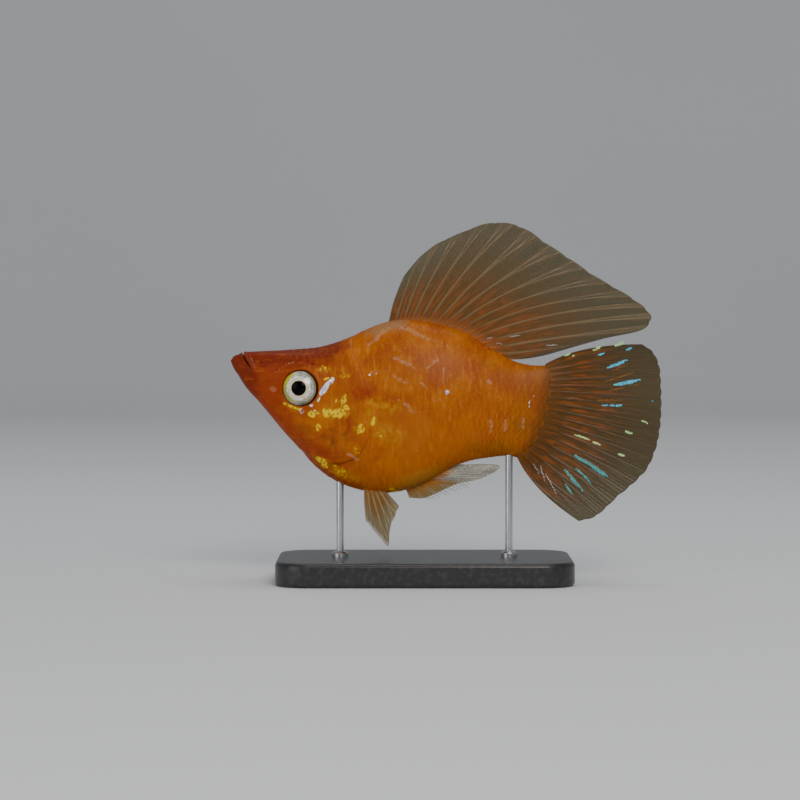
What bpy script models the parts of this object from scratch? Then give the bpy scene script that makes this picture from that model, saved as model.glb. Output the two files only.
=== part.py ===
"""A golden sailfin molly, an adult male with his sail raised, as a life-size still model on a plain stand.

The fish faces -X with its left side towards -Y, and +Z is up. Blender's lengths are in metres. The sizes
below are in millimetres: places on the fish are written back from the snout and up from it, and spot() turns
them into the frame, whose origin is under the middle of the whole model, on the surface that it stands on.
"""

import math
from collections.abc import Callable
from dataclasses import dataclass

import bmesh
import bpy
from mathutils import Matrix, Vector

MM = 0.001

# Main sizes
TOTAL_LENGTH = 90.1
SNOUT_HEIGHT = 46.8
JOINT_GAP = 0.3
SHEET_HALF_THICKNESS = 0.25
MARGIN_HALF_THICKNESS = 0.13

# Outline of the body from the side: back from the snout, and up from it
BACK_LINE = (
    (0.0, -0.35), (0.3, 0.1), (1.8, 0.75), (3.3, 1.2), (6.0, 1.4), (10.2, 1.6), (14.4, 1.85), (18.6, 2.3),
    (21.7, 3.15), (24.9, 4.35), (28.0, 5.8), (31.6, 7.25), (35.4, 8.0), (39.6, 7.7), (43.8, 6.9),
    (48.0, 5.7), (52.2, 3.4), (56.4, 0.85), (59.5, -0.75), (62.7, -1.5), (65.8, -1.6), (69.0, -1.4),
)
BELLY_LINE = (
    (0.0, -1.0), (0.3, -1.8), (1.4, -3.6), (3.0, -6.1), (5.6, -9.0), (8.1, -12.0), (11.2, -15.75),
    (14.4, -19.1), (16.5, -21.6), (18.6, -23.6), (21.7, -25.7), (24.9, -27.1), (28.0, -27.9),
    (31.2, -28.3), (35.4, -28.0), (39.6, -26.6), (43.8, -24.4), (46.9, -22.7), (50.1, -21.6),
    (54.3, -20.9), (58.1, -20.6), (61.0, -21.2), (65.0, -22.8), (69.0, -24.0),
)
# Half the body's width at its widest level, from above
HALF_WIDTH = (
    (0.0, 0.8), (0.4, 1.45), (1.2, 2.0), (2.5, 2.55), (5.0, 3.25), (8.0, 4.05), (11.0, 4.8), (14.6, 5.5),
    (18.0, 6.1), (22.0, 6.75), (26.0, 7.2), (30.0, 7.5), (35.0, 7.75), (40.0, 7.6), (45.0, 6.9),
    (50.0, 5.7), (54.0, 4.6), (58.0, 3.55), (62.0, 2.55), (65.5, 1.75), (69.0, 1.2),
)
# How high the widest level lies, as a share of the section's height
WIDEST_LEVEL = ((0.0, 0.6), (3.0, 0.74), (8.0, 0.68), (14.6, 0.62), (22.0, 0.55), (32.0, 0.5), (69.0, 0.5))
# How boxy the section is above and below that level: 2 is an ellipse
UPPER_FULLNESS = ((0.0, 2.2), (4.0, 3.0), (16.0, 2.9), (24.0, 2.3), (34.0, 2.0), (50.0, 1.85), (69.0, 2.0))
LOWER_FULLNESS = (
    (0.0, 2.2), (4.0, 2.4), (10.0, 1.85), (18.0, 1.75), (26.0, 2.0), (40.0, 2.15), (52.0, 1.9), (69.0, 2.0),
)
NOSE_ROUNDING = 0.12

# The gill opening: the edge of the head, from above the nape, round the gill cover, to below the throat
GILL_EDGE = (
    (25.6, 12.0), (25.7, 3.5), (26.9, -2.0), (28.6, -7.5), (29.2, -12.0), (28.6, -16.2), (26.8, -19.6),
    (24.0, -21.3), (20.6, -21.6), (17.2, -20.6), (14.2, -19.0), (10.0, -22.0),
)
GILL_COVER_RISE = 0.45
GILL_COVER_MIDDLE = (21.5, -12.0)
GILL_COVER_RADIUS = 9.5
# Where the cover's rise starts and where it is full: as a share of its radius, behind its middle and over it
GILL_COVER_SWELL = (0.3, 0.75)
GILL_COVER_BEHIND = (-7.0, 1.0)
GILL_COVER_OVER = (14.0, 9.0)

# The line of the mouth, from above the lips to the corner, and how wide the groove is at each of its points
MOUTH_LINE = ((2.2, 4.0), (2.5, 1.0), (2.95, -0.2), (3.7, -1.4), (4.45, -2.5))
MOUTH_WIDTHS = (0.6, 0.55, 0.45, 0.35, 0.12)
MOUTH_DEPTH = 0.85
LIP_RISE = 0.36
LIP_WIDTH = 0.75

EYE_PLACE = (14.65, -6.2)
EYE_RADIUS = 4.05
EYE_HALF_DEPTH = 2.3
EYE_STANDS_OUT = 1.15
EYE_FACES_FORWARD = math.radians(10.5)
# Each nostril's place and radius
NOSTRILS = ((6.3, -0.9, 0.32), (9.6, -2.6, 0.38))

STEM_CUT = 55.6
# Where the flesh of the tail ends and the tail fin begins
TAIL_EDGE = (
    (67.2, 3.0), (67.0, -1.0), (66.6, -4.6), (66.0, -8.8), (65.0, -13.0), (63.2, -17.4), (60.4, -21.2),
    (57.6, -24.6),
)
# Places clear of the whole body, for the outlines of its cuts
CLEAR_AHEAD = -5.0
CLEAR_BEHIND = 80.0
CLEAR_ABOVE = 20.0
CLEAR_BELOW = -40.0

# Fins: where their flesh ends and their margin starts to thin, as shares of the way along a ray
FLESH_REACH = 0.3
THINS_FROM = 0.75
# A ridge's height at the quarters of the way from one ray to the next, before and after the ray forks
SINGLE_RIDGE = (1.0, 0.2, 0.0, 0.2)
FORKED_RIDGE = (0.15, 0.85, 0.0, 0.85)
FORK_BEFORE = 0.1
FORK_AFTER = 0.12

DORSAL_RAYS = 17
DORSAL_ROOT = (32.9, 56.3)
DORSAL_SUNK = 1.1
DORSAL_MARGIN = (
    (0.0, 36.2, 17.2), (0.06, 39.0, 20.6), (0.12, 42.1, 23.3), (0.2, 47.4, 26.0), (0.29, 54.7, 28.5),
    (0.35, 59.3, 28.0), (0.47, 68.1, 22.7), (0.59, 77.0, 16.8), (0.7, 84.5, 12.2), (0.77, 87.3, 9.9),
    (0.82, 88.1, 8.1), (0.88, 85.8, 5.7), (0.94, 77.8, 3.9), (1.0, 67.1, 0.8),
)
DORSAL_LEAVE = ((0.0, 84), (0.12, 76), (0.25, 66), (0.5, 44), (0.7, 29), (0.85, 13), (1.0, -8))
DORSAL_BOW = 1.6
DORSAL_WAVES = 1.1
DORSAL_WAVE_START = 0.4

CAUDAL_RAYS = 15
CAUDAL_SUNK = 1.0
CAUDAL_ROOT = (
    (0.0, 66.9, -1.3), (0.2, 66.6, -4.6), (0.42, 66.0, -8.8), (0.62, 65.0, -13.0), (0.82, 63.3, -17.2),
    (1.0, 60.9, -20.7),
)
CAUDAL_ROOT_INSET = 0.1
CAUDAL_ROOT_LEAST = 0.45
CAUDAL_MARGIN = (
    (0.0, 86.0, 2.9), (0.07, 88.3, 1.3), (0.14, 89.6, -1.3), (0.25, 90.1, -5.9), (0.36, 90.1, -10.5),
    (0.48, 89.7, -15.5), (0.58, 88.7, -19.7), (0.66, 87.0, -23.5), (0.74, 84.1, -26.5), (0.81, 81.0, -29.0),
    (0.87, 78.4, -31.5), (0.94, 75.7, -33.4), (1.0, 72.8, -34.1),
)
CAUDAL_LEAVE = (
    (0.0, 30), (0.12, 14), (0.25, 4), (0.5, -10), (0.7, -20), (0.8, -28), (0.9, -41), (1.0, -66),
)
CAUDAL_SWING = 2.4
CAUDAL_BOW = 0.7
CAUDAL_WAVES = 1.75

ANAL_RAYS = 9
ANAL_SUNK = 1.2
ANAL_ROOT = ((0.0, 35.8, -27.6), (0.5, 40.4, -26.2), (1.0, 44.0, -24.3))
ANAL_MARGIN = (
    (0.0, 37.3, -29.4), (0.14, 40.4, -29.5), (0.28, 43.8, -28.1), (0.42, 47.6, -26.4), (0.55, 52.6, -25.3),
    (0.68, 56.5, -22.9), (0.8, 53.6, -22.3), (0.9, 49.6, -22.4), (1.0, 46.6, -22.2),
)
ANAL_LEAVE = ((0.0, -50), (0.3, -25), (0.55, -6), (0.68, 6), (1.0, 20))
# The gonopodium: where its middle lies across the fin, how wide it spreads, and its half depth and taper
GONOPODIUM_SHARE = 0.62
GONOPODIUM_SPREAD = 0.16
GONOPODIUM_HALF_DEPTH = 0.42
GONOPODIUM_TAPER = 0.55
FRINGE_COUNT = 8
FRINGE_FIRST = (40.6, -28.6)
FRINGE_LAST = (47.6, -25.6)
FRINGE_LENGTH = 3.4
FRINGE_SUNK = 1.0
FRINGE_ROOT_RADIUS = 0.3
FRINGE_TIP_RADIUS = 0.1
FRINGE_ANGLE = math.radians(-40)

PELVIC_RAYS = 6
PELVIC_SUNK = 1.2
PELVIC_ROOT = ((0.0, 27.9, -27.9), (1.0, 31.1, -28.2))
PELVIC_MARGIN = (
    (0.0, 28.2, -34.2), (0.2, 30.1, -36.5), (0.4, 32.9, -39.5), (0.6, 33.3, -36.1), (0.8, 34.3, -33.4),
    (1.0, 35.2, -31.3),
)
PELVIC_LEAVE = ((0.0, -94), (0.4, -78), (0.8, -55), (1.0, -42))
PELVIC_APART = 1.7
PELVIC_SPREAD = math.radians(13)

PECTORAL_RAYS = 10
PECTORAL_PLACE = (30.4, -12.9)
PECTORAL_ROOT_HALF = 1.7
PECTORAL_LENGTH = 12.4
PECTORAL_SUNK = 1.6
PECTORAL_CUP = 0.9
PECTORAL_OUT = math.radians(27)
PECTORAL_DOWN = math.radians(20)
PECTORAL_FAN = ((0.0, 27), (0.5, -1), (1.0, -32))
PECTORAL_REACH = ((0.0, 0.72), (0.1, 0.87), (0.3, 1.0), (0.5, 0.99), (0.75, 0.86), (0.9, 0.7), (1.0, 0.5))

# The stand
BASE_LENGTH = 62.0
BASE_WIDTH = 36.0
BASE_THICKNESS = 5.0
BASE_CORNER = 7.0
BASE_CORNER_STEPS = 6
BASE_BEVEL = 0.7
BASE_MIDDLE = -4.5
ROD_RADIUS = 0.8
ROD_PLACES = {"front": 22.8, "rear": 58.3}
ROD_IN_BODY = 2.6
ROD_IN_BASE = 3.0
# A height above the base that lies below the whole body, where the holes for the rods can end
CLEAR_OF_BASE = 5.0

# Finishes: colour, roughness and metallic value
FINISHES = {
    "skin_orange": ((0.80, 0.26, 0.02), 0.35, 0.0),
    "head_orange": ((0.78, 0.17, 0.02), 0.35, 0.0),
    "fin_amber": ((0.42, 0.22, 0.06), 0.4, 0.0),
    "fin_pale": ((0.72, 0.66, 0.52), 0.4, 0.0),
    "eye_silver": ((0.85, 0.84, 0.70), 0.15, 0.2),
    "stand_black": ((0.03, 0.03, 0.035), 0.45, 0.0),
    "rod_steel": ((0.62, 0.62, 0.63), 0.3, 1.0),
}
FINISH_OF = {
    "head": "head_orange", "trunk": "skin_orange", "tail_stem": "skin_orange",
    "eye_left": "eye_silver", "eye_right": "eye_silver", "dorsal_fin": "fin_amber", "tail_fin": "fin_amber",
    "anal_fin": "fin_pale", "pelvic_fin_left": "fin_pale", "pelvic_fin_right": "fin_pale",
    "pectoral_fin_left": "fin_pale", "pectoral_fin_right": "fin_pale", "stand_base": "stand_black",
    "stand_rod_front": "rod_steel", "stand_rod_rear": "rod_steel",
}
SHARP_FROM = math.radians(40)


# Curves and measures


def spot(back, up):
    """The place in the frame, in the fish's middle plane, of a point given from the snout."""
    return Vector(((back - TOTAL_LENGTH / 2) * MM, 0.0, (SNOUT_HEIGHT + up) * MM))


def curve_through(points):
    """A smooth function through (place, value) points, with parabolic slopes."""
    xs = [p[0] for p in points]
    ys = [p[1] for p in points]
    steps = [b - a for a, b in zip(xs, xs[1:])]
    rates = [(d - c) / h for c, d, h in zip(ys, ys[1:], steps)]
    slopes = [rates[0]]
    for h0, h1, r0, r1 in zip(steps, steps[1:], rates, rates[1:]):
        slopes.append((h1 * r0 + h0 * r1) / (h0 + h1))
    slopes.append(rates[-1])

    def value(x):
        x = min(max(x, xs[0]), xs[-1])
        i = max(k for k in range(len(steps)) if xs[k] <= x)
        t = (x - xs[i]) / steps[i]
        rise = ys[i + 1] - ys[i]
        near = slopes[i] * steps[i]
        far = slopes[i + 1] * steps[i]
        return ys[i] + t * (near + t * (3 * rise - 2 * near - far + t * (near + far - 2 * rise)))

    return value


def line_through(points):
    """A function of a share 0 to 1 that gives a place and a height, from (share, back, up) points."""
    back = curve_through([(p[0], p[1]) for p in points])
    up = curve_through([(p[0], p[2]) for p in points])
    return lambda share: (back(share), up(share))


def angle_through(points):
    """A function of a share 0 to 1 that gives an angle in radians, from (share, degrees) points."""
    value = curve_through(points)
    return lambda share: math.radians(value(share))


back_line = curve_through(BACK_LINE)
belly_line = curve_through(BELLY_LINE)
half_width = curve_through(HALF_WIDTH)
widest_level = curve_through(WIDEST_LEVEL)
upper_fullness = curve_through(UPPER_FULLNESS)
lower_fullness = curve_through(LOWER_FULLNESS)


def smooth_step(low, high, x):
    """0 up to low, 1 from high on, and smooth between."""
    t = min(max((x - low) / (high - low), 0.0), 1.0)
    return t * t * (3 - 2 * t)


def surface_width(back, up):
    """Half the width of the plain body at a place seen from the side, 0 outside its outline."""
    top, bottom = back_line(back), belly_line(back)
    level = bottom + widest_level(back) * (top - bottom)
    above = up > level
    reach = (up - level) / (top - level) if above else (level - up) / (level - bottom)
    power = upper_fullness(back) if above else lower_fullness(back)
    return half_width(back) * max(0.0, 1 - min(reach, 1.0) ** power) ** (1 / power)


def distance_to_line(point, line):
    """The distance from a point to a line of straight runs, all seen from the side."""
    p = Vector(point)
    best = math.inf
    for a, b in zip(line, line[1:]):
        start, run = Vector(a), Vector(b) - Vector(a)
        share = min(max((p - start).dot(run) / run.length_squared, 0.0), 1.0)
        best = min(best, (p - start - run * share).length)
    return best


def offset_line(line, distances):
    """The line moved to its left as it runs, by one distance or by one for each of its points."""
    if isinstance(distances, float):
        distances = [distances] * len(line)
    moved = []
    for k, (point, distance) in enumerate(zip(line, distances)):
        run = Vector(line[min(k + 1, len(line) - 1)]) - Vector(line[max(k - 1, 0)])
        run.normalize()
        moved.append((point[0] - run.y * distance, point[1] + run.x * distance))
    return moved


# Meshes


def new_object(name, mesh, group):
    """A mesh object with this name, linked to the collection."""
    made = bpy.data.objects.new(name, mesh)
    group.objects.link(made)
    return made


def mesh_of(name, points, faces):
    """A mesh with its faces turned outwards."""
    mesh = bpy.data.meshes.new(name)
    mesh.from_pydata(points, [], faces)
    shape = bmesh.new()
    shape.from_mesh(mesh)
    bmesh.ops.recalc_face_normals(shape, faces=shape.faces)
    shape.to_mesh(mesh)
    shape.free()
    return mesh


def primitive(name, group, create, placing, **sizes):
    """A closed primitive made by one of bmesh's create functions, set in its place by a matrix."""
    shape = bmesh.new()
    create(shape, **sizes)
    mesh = bpy.data.meshes.new(name)
    shape.to_mesh(mesh)
    shape.free()
    mesh.transform(placing)
    return new_object(name, mesh, group)


def ellipsoid(name, group, place, half_sizes, turn=Matrix.Identity(4), segments=16, rings=10):
    """A closed ellipsoid at a place in the frame, with half sizes in millimetres."""
    placing = Matrix.Translation(place) @ turn @ Matrix.Diagonal((*[s * MM for s in half_sizes], 1.0))
    return primitive(
        name, group, bmesh.ops.create_uvsphere, placing, u_segments=segments, v_segments=rings, radius=1.0
    )


def upright_rod(name, group, place, low, high, radius, sides=16):
    """A closed cylinder along Z between two heights in metres."""
    placing = Matrix.Translation((place.x, place.y, (low + high) / 2))
    return primitive(
        name, group, bmesh.ops.create_cone, placing, cap_ends=True, segments=sides,
        radius1=radius * MM, radius2=radius * MM, depth=high - low,
    )


def flat_plate(name, outline, half_depth, group):
    """A 2D curve filled inside an outline of X and Y pairs in metres, with a depth both ways."""
    curve = bpy.data.curves.new(name, "CURVE")
    curve.dimensions = "2D"
    curve.fill_mode = "BOTH"
    curve.extrude = half_depth * MM
    spline = curve.splines.new("POLY")
    spline.points.add(len(outline) - 1)
    for point, (x, y) in zip(spline.points, outline):
        point.co = (x, y, 0.0, 1.0)
    spline.use_cyclic_u = True
    flat = bpy.data.objects.new(name + "_outline", curve)
    group.objects.link(flat)
    return flat


def as_mesh(source, name, group):
    """A curve object made a closed mesh object in the frame, with the curve removed."""
    bpy.context.view_layer.update()
    graph = bpy.context.evaluated_depsgraph_get()
    mesh = bpy.data.meshes.new_from_object(source.evaluated_get(graph))
    mesh.transform(source.matrix_world)
    shape = bmesh.new()
    shape.from_mesh(mesh)
    bmesh.ops.remove_doubles(shape, verts=shape.verts, dist=1e-6)
    bmesh.ops.recalc_face_normals(shape, faces=shape.faces)
    shape.to_mesh(mesh)
    shape.free()
    bpy.data.objects.remove(source)
    return new_object(name, mesh, group)


def side_prism(name, group, outline, half_depth=25.0):
    """A prism across the fish, of an outline drawn from the side."""
    places = [spot(back, up) for back, up in outline]
    flat = flat_plate(name, [(place.x, place.z) for place in places], half_depth, group)
    flat.rotation_euler.x = math.radians(90)
    return as_mesh(flat, name, group)


def side_block(name, group, first, last):
    """A block across the fish that takes in the whole of it from one place back to another."""
    corners = [(first, CLEAR_ABOVE), (last, CLEAR_ABOVE), (last, CLEAR_BELOW), (first, CLEAR_BELOW)]
    return side_prism(name, group, corners)


def apply_modifiers(target):
    """Puts the mesh that an object's modifiers make in the place of its own."""
    bpy.context.view_layer.update()
    graph = bpy.context.evaluated_depsgraph_get()
    mesh = bpy.data.meshes.new_from_object(target.evaluated_get(graph))
    target.modifiers.clear()
    target.data = mesh


def combine(target, other, operation):
    """Applies one Boolean of other, a mesh object or a collection of them, to target."""
    modifier = target.modifiers.new("join", "BOOLEAN")
    modifier.operation = operation
    modifier.solver = "EXACT"
    if isinstance(other, bpy.types.Collection):
        modifier.operand_type = "COLLECTION"
        modifier.collection = other
    else:
        modifier.object = other
    apply_modifiers(target)
    keep_largest(target)


def keep_largest(target):
    """Keeps only the closed surface of the largest volume."""
    shape = bmesh.new()
    shape.from_mesh(target.data)
    unseen, bodies = set(shape.verts), []
    while unseen:
        body, queue = set(), [unseen.pop()]
        while queue:
            corner = queue.pop()
            body.add(corner)
            for edge in corner.link_edges:
                other = edge.other_vert(corner)
                if other in unseen:
                    unseen.remove(other)
                    queue.append(other)
        bodies.append(body)

    def volume(body):
        total = 0.0
        for face in {f for corner in body for f in corner.link_faces}:
            first = face.verts[0].co
            for a, b in zip(face.verts[1:-1], face.verts[2:]):
                total += first.dot(a.co.cross(b.co))
        return abs(total)

    largest = max(bodies, key=volume)
    bmesh.ops.delete(shape, geom=[v for v in shape.verts if v not in largest], context="VERTS")
    shape.to_mesh(target.data)
    shape.free()


# The body


@dataclass
class Stretch:
    """A stretch of the body: where it runs, the points round a section and the step between sections.

    Up to fine_until the sections stand closer together, fine_step apart.
    """

    first: float
    last: float
    sides: int
    step: float
    fine_step: float = 0.0
    fine_until: float = 0.0

    def stations(self):
        """The places of the sections."""
        places = [self.first]
        while places[-1] < self.last - 1e-6:
            places.append(places[-1] + (self.fine_step if places[-1] < self.fine_until else self.step))
        places[-1] = self.last
        return places


HEAD = Stretch(0.0, 31.0, 36, 1.5, 0.4, 5.6)
TRUNK = Stretch(13.0, 57.0, 32, 1.85)
TAIL_STEM = Stretch(54.0, 69.0, 28, 1.4)
MOUTH_FLOOR = Stretch(1.2, 8.0, 24, 1.0, 0.6, 6.0)
FIN_ROOM = Stretch(4.0, 69.0, 48, 1.3)


def head_relief(back, up):
    """How far the head's surface stands out from the plain body: the gill cover's edge and the lips."""
    behind, over = back - GILL_COVER_MIDDLE[0], up - GILL_COVER_MIDDLE[1]
    reach = math.hypot(behind, over) / GILL_COVER_RADIUS
    cover = smooth_step(*GILL_COVER_SWELL, reach) * smooth_step(*GILL_COVER_BEHIND, behind)
    cover *= GILL_COVER_RISE * smooth_step(*GILL_COVER_OVER, over)
    lips = LIP_RISE * math.exp(-((distance_to_line((back, up), MOUTH_LINE[1:]) / LIP_WIDTH) ** 2))
    return cover + lips


def no_relief(back, up):
    """The plain body."""
    return 0.0


def body_loft(name, group, stretch, relief=no_relief, margin=0.0):
    """A stretch of the body as one loft through its cross-sections, grown by margin."""
    places, sides = stretch.stations(), stretch.sides
    points, faces = [], []
    for back in places:
        top, bottom = back_line(back) + margin, belly_line(back) - margin
        level = bottom + widest_level(back) * (top - bottom)
        width = half_width(back) + margin
        for k in range(sides):
            turn = 2 * math.pi * (k + 0.5) / sides
            side, rise = math.cos(turn), math.sin(turn)
            power = 2 / (upper_fullness(back) if rise > 0 else lower_fullness(back))
            height = top - level if rise > 0 else level - bottom
            up = level + height * math.copysign(abs(rise) ** power, rise)
            stand_out = relief(back, up)
            out = width * abs(side) ** power + stand_out * abs(side)
            place = spot(back, up + stand_out * rise)
            place.y = math.copysign(out, side) * MM
            points.append(place)
    for ring in range(len(places) - 1):
        for k in range(sides):
            a, b = ring * sides + k, ring * sides + (k + 1) % sides
            faces.append((a, b, b + sides, a + sides))
    for ring, push in ((0, -NOSE_ROUNDING), (len(places) - 1, 0.0)):
        rim = list(range(ring * sides, (ring + 1) * sides))
        middle = sum((points[k] for k in rim), Vector()) / sides
        points.append(middle + Vector((push * MM, 0, 0)))
        faces += [(rim[k], rim[(k + 1) % sides], len(points) - 1) for k in range(sides)]
    return new_object(name, mesh_of(name, points, faces), group)


def make_body(parts, tools):
    """The head, trunk and tail stem, parted by thin cuts from one body."""
    head = body_loft("head", parts, HEAD, relief=head_relief)
    trunk = body_loft("trunk", parts, TRUNK)
    stem = body_loft("tail_stem", parts, TAIL_STEM)

    ahead = [(CLEAR_AHEAD, GILL_EDGE[-1][1]), (CLEAR_AHEAD, GILL_EDGE[0][1])]
    combine(head, side_prism("head_space", tools, [*GILL_EDGE, *ahead]), "INTERSECT")
    grown_head = [*offset_line(GILL_EDGE, JOINT_GAP), *ahead]
    combine(trunk, side_prism("head_room", tools, grown_head), "DIFFERENCE")
    combine(trunk, side_block("stem_room", tools, STEM_CUT, CLEAR_BEHIND), "DIFFERENCE")
    combine(stem, side_block("trunk_room", tools, CLEAR_AHEAD, STEM_CUT + JOINT_GAP), "DIFFERENCE")
    tail_space = [*TAIL_EDGE, (CLEAR_BEHIND, CLEAR_BELOW), (CLEAR_BEHIND, CLEAR_ABOVE)]
    combine(stem, side_prism("tail_fin_room", tools, tail_space), "DIFFERENCE")
    return head, trunk, stem


def cut_mouth(tools, head):
    """The groove between the lips, over the snout and down to the corners of the mouth."""
    front_lip = offset_line(MOUTH_LINE, [-width / 2 for width in MOUTH_WIDTHS])
    rear_lip = offset_line(MOUTH_LINE, [width / 2 for width in MOUTH_WIDTHS])
    groove = side_prism("mouth_gap", tools, [*front_lip, *reversed(rear_lip)])
    combine(groove, body_loft("mouth_floor", tools, MOUTH_FLOOR, margin=-MOUTH_DEPTH), "DIFFERENCE")
    combine(head, groove, "DIFFERENCE")


def make_eyes(parts, tools, head):
    """Both eyes, each a flattened ball in a socket, and the nostrils in front of them."""
    for label, side in (("left", -1), ("right", 1)):
        middle = spot(*EYE_PLACE)
        middle.y = side * (surface_width(*EYE_PLACE) + EYE_STANDS_OUT - EYE_HALF_DEPTH) * MM
        turn = Matrix.Rotation(side * EYE_FACES_FORWARD, 4, "Z")
        sizes = (EYE_RADIUS, EYE_HALF_DEPTH, EYE_RADIUS)
        ellipsoid("eye_" + label, parts, middle, sizes, turn)
        grown = [s + JOINT_GAP for s in sizes]
        socket = ellipsoid("socket_" + label, tools, middle, grown, turn, segments=20, rings=12)
        combine(head, socket, "DIFFERENCE")
        for number, (back, up, radius) in enumerate(NOSTRILS):
            place = spot(back, up)
            place.y = side * surface_width(back, up) * MM
            pit = ellipsoid(f"nostril_{label}_{number}", tools, place, (radius,) * 3, segments=8, rings=6)
            combine(head, pit, "DIFFERENCE")


# The fins


@dataclass
class FinPlan:
    """A fin as rays that leave a root line at set angles and bend to a margin.

    root and margin give a point for a share 0 to 1 across the fin, and leave gives the angle at which the ray
    starts. thick gives half the depth at a share across, a share along and a share of a ridge. bow gives how
    far the sheet leaves its plane at a share across and a share along.
    """

    rays: int
    root: Callable
    margin: Callable
    leave: Callable
    thick: Callable
    bow: Callable
    fork: float = 0.45
    bend: float = 0.42
    notch: float = 0.012

    def point(self, share, along):
        """A point of the middle surface: back and up, and how far out."""
        start, end = Vector(self.root(share)), Vector(self.margin(share))
        angle = self.leave(share)
        guide = start + Vector((math.cos(angle), math.sin(angle))) * (end - start).length * self.bend
        flat = start * (1 - along) ** 2 + guide * 2 * along * (1 - along) + end * along * along
        return flat.x, flat.y, self.bow(share, along)


def straight(share, along):
    """No bow: the sheet stays in its plane."""
    return 0.0


def ridge_share(part, along, fork):
    """How much of a ray's ridge stands at a quarter of the way between rays: beyond fork it is two."""
    split = smooth_step(fork - FORK_BEFORE, fork + FORK_AFTER, along)
    return SINGLE_RIDGE[part] + (FORKED_RIDGE[part] - SINGLE_RIDGE[part]) * split


def sheet_thickness(root_half, ridge_root, ridge_tip):
    """Half the depth of a fin: a fleshy root, a thin sheet, and ridges that fade towards the margin."""

    def half(share, along, ridge):
        flesh = (root_half - SHEET_HALF_THICKNESS) * (1 - smooth_step(0.0, FLESH_REACH, along))
        thinning = (SHEET_HALF_THICKNESS - MARGIN_HALF_THICKNESS) * smooth_step(THINS_FROM, 1.0, along)
        height = ridge_root + (ridge_tip - ridge_root) * along
        return SHEET_HALF_THICKNESS + flesh - thinning + ridge * height

    return half


def fin_sheet(plan, rows, quarters):
    """The number of columns across a fin, and its middle points and half depths column by column."""
    columns = (plan.rays - 1) * quarters
    points, halves = [], []
    for c in range(columns + 1):
        share = c / columns
        part = c % quarters * (4 // quarters)
        reach = 1.0 - (plan.notch if part == 2 else 0.0)
        for r in range(rows + 1):
            points.append(plan.point(share, r / rows * reach))
            halves.append(plan.thick(share, r / rows, ridge_share(part, r / rows, plan.fork)))
    return columns, points, halves


def vane(name, group, columns, rows, middles, shifts):
    """A closed thin sheet: the middle points moved both ways by their shifts, with both faces split alike."""
    count = (columns + 1) * (rows + 1)
    points = [m - s for m, s in zip(middles, shifts)] + [m + s for m, s in zip(middles, shifts)]
    faces = []
    for c in range(columns):
        for r in range(rows):
            a = c * (rows + 1) + r
            b, d, e = a + 1, a + rows + 1, a + rows + 2
            pair = ((a, b, e), (a, e, d)) if (c + r) % 2 else ((a, b, d), (b, e, d))
            faces += [tuple(reversed(f)) for f in pair]
            faces += [tuple(k + count for k in f) for f in pair]
    loop = list(range(rows))
    loop += [c * (rows + 1) + rows for c in range(columns)]
    loop += [columns * (rows + 1) + r for r in range(rows, 0, -1)]
    loop += [c * (rows + 1) for c in range(columns, 0, -1)]
    for a, b in zip(loop, loop[1:] + loop[:1]):
        faces.append((a, b, b + count, a + count))
    return new_object(name, mesh_of(name, points, faces), group)


def upright():
    """The placing of a fin in the fish's middle plane: its own X, Y and Z are back, up and right."""
    to_side = Matrix(((1, 0, 0, 0), (0, 0, 1, 0), (0, 1, 0, 0), (0, 0, 0, 1)))
    return Matrix.Translation(spot(0, 0)) @ to_side


def make_fin(name, group, plan, rows, placing, quarters=4):
    """A fin drawn in its own plane in millimetres, set on the fish by a placing matrix in metres."""
    columns, spots, halves = fin_sheet(plan, rows, quarters)
    middles = [placing @ (Vector(place) * MM) for place in spots]
    normal = (placing.to_3x3() @ Vector((0, 0, 1))).normalized()
    return vane(name, group, columns, rows, middles, [normal * half * MM for half in halves])


def dorsal_plan():
    """The sail: rays from the ridge of the back, bent to the rear, with a slow sideways wave."""

    def root(share):
        back = DORSAL_ROOT[0] + share * (DORSAL_ROOT[1] - DORSAL_ROOT[0])
        return back, back_line(back) - DORSAL_SUNK

    def bow(share, along):
        return DORSAL_BOW * along * along * math.sin(2 * math.pi * DORSAL_WAVES * share + DORSAL_WAVE_START)

    thick = sheet_thickness(root_half=0.5, ridge_root=0.3, ridge_tip=0.2)
    margin, leave = line_through(DORSAL_MARGIN), angle_through(DORSAL_LEAVE)
    return FinPlan(DORSAL_RAYS, root, margin, leave, thick, bow, fork=0.6)


def caudal_plan():
    """The tail fin: a fan from the curved end of the flesh, swung a little to the fish's left."""
    edge = line_through(CAUDAL_ROOT)

    def root(share):
        back, up = edge(share)
        return back - CAUDAL_SUNK, up

    def thick(share, along, ridge):
        flesh = max(surface_width(*edge(share)) - CAUDAL_ROOT_INSET, CAUDAL_ROOT_LEAST)
        return sheet_thickness(flesh, ridge_root=0.28, ridge_tip=0.18)(share, along, ridge)

    def bow(share, along):
        wave = CAUDAL_BOW * math.sin(2 * math.pi * CAUDAL_WAVES * share)
        return along * along * (wave - CAUDAL_SWING)

    margin, leave = line_through(CAUDAL_MARGIN), angle_through(CAUDAL_LEAVE)
    return FinPlan(CAUDAL_RAYS, root, margin, leave, thick, bow, fork=0.5)


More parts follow.
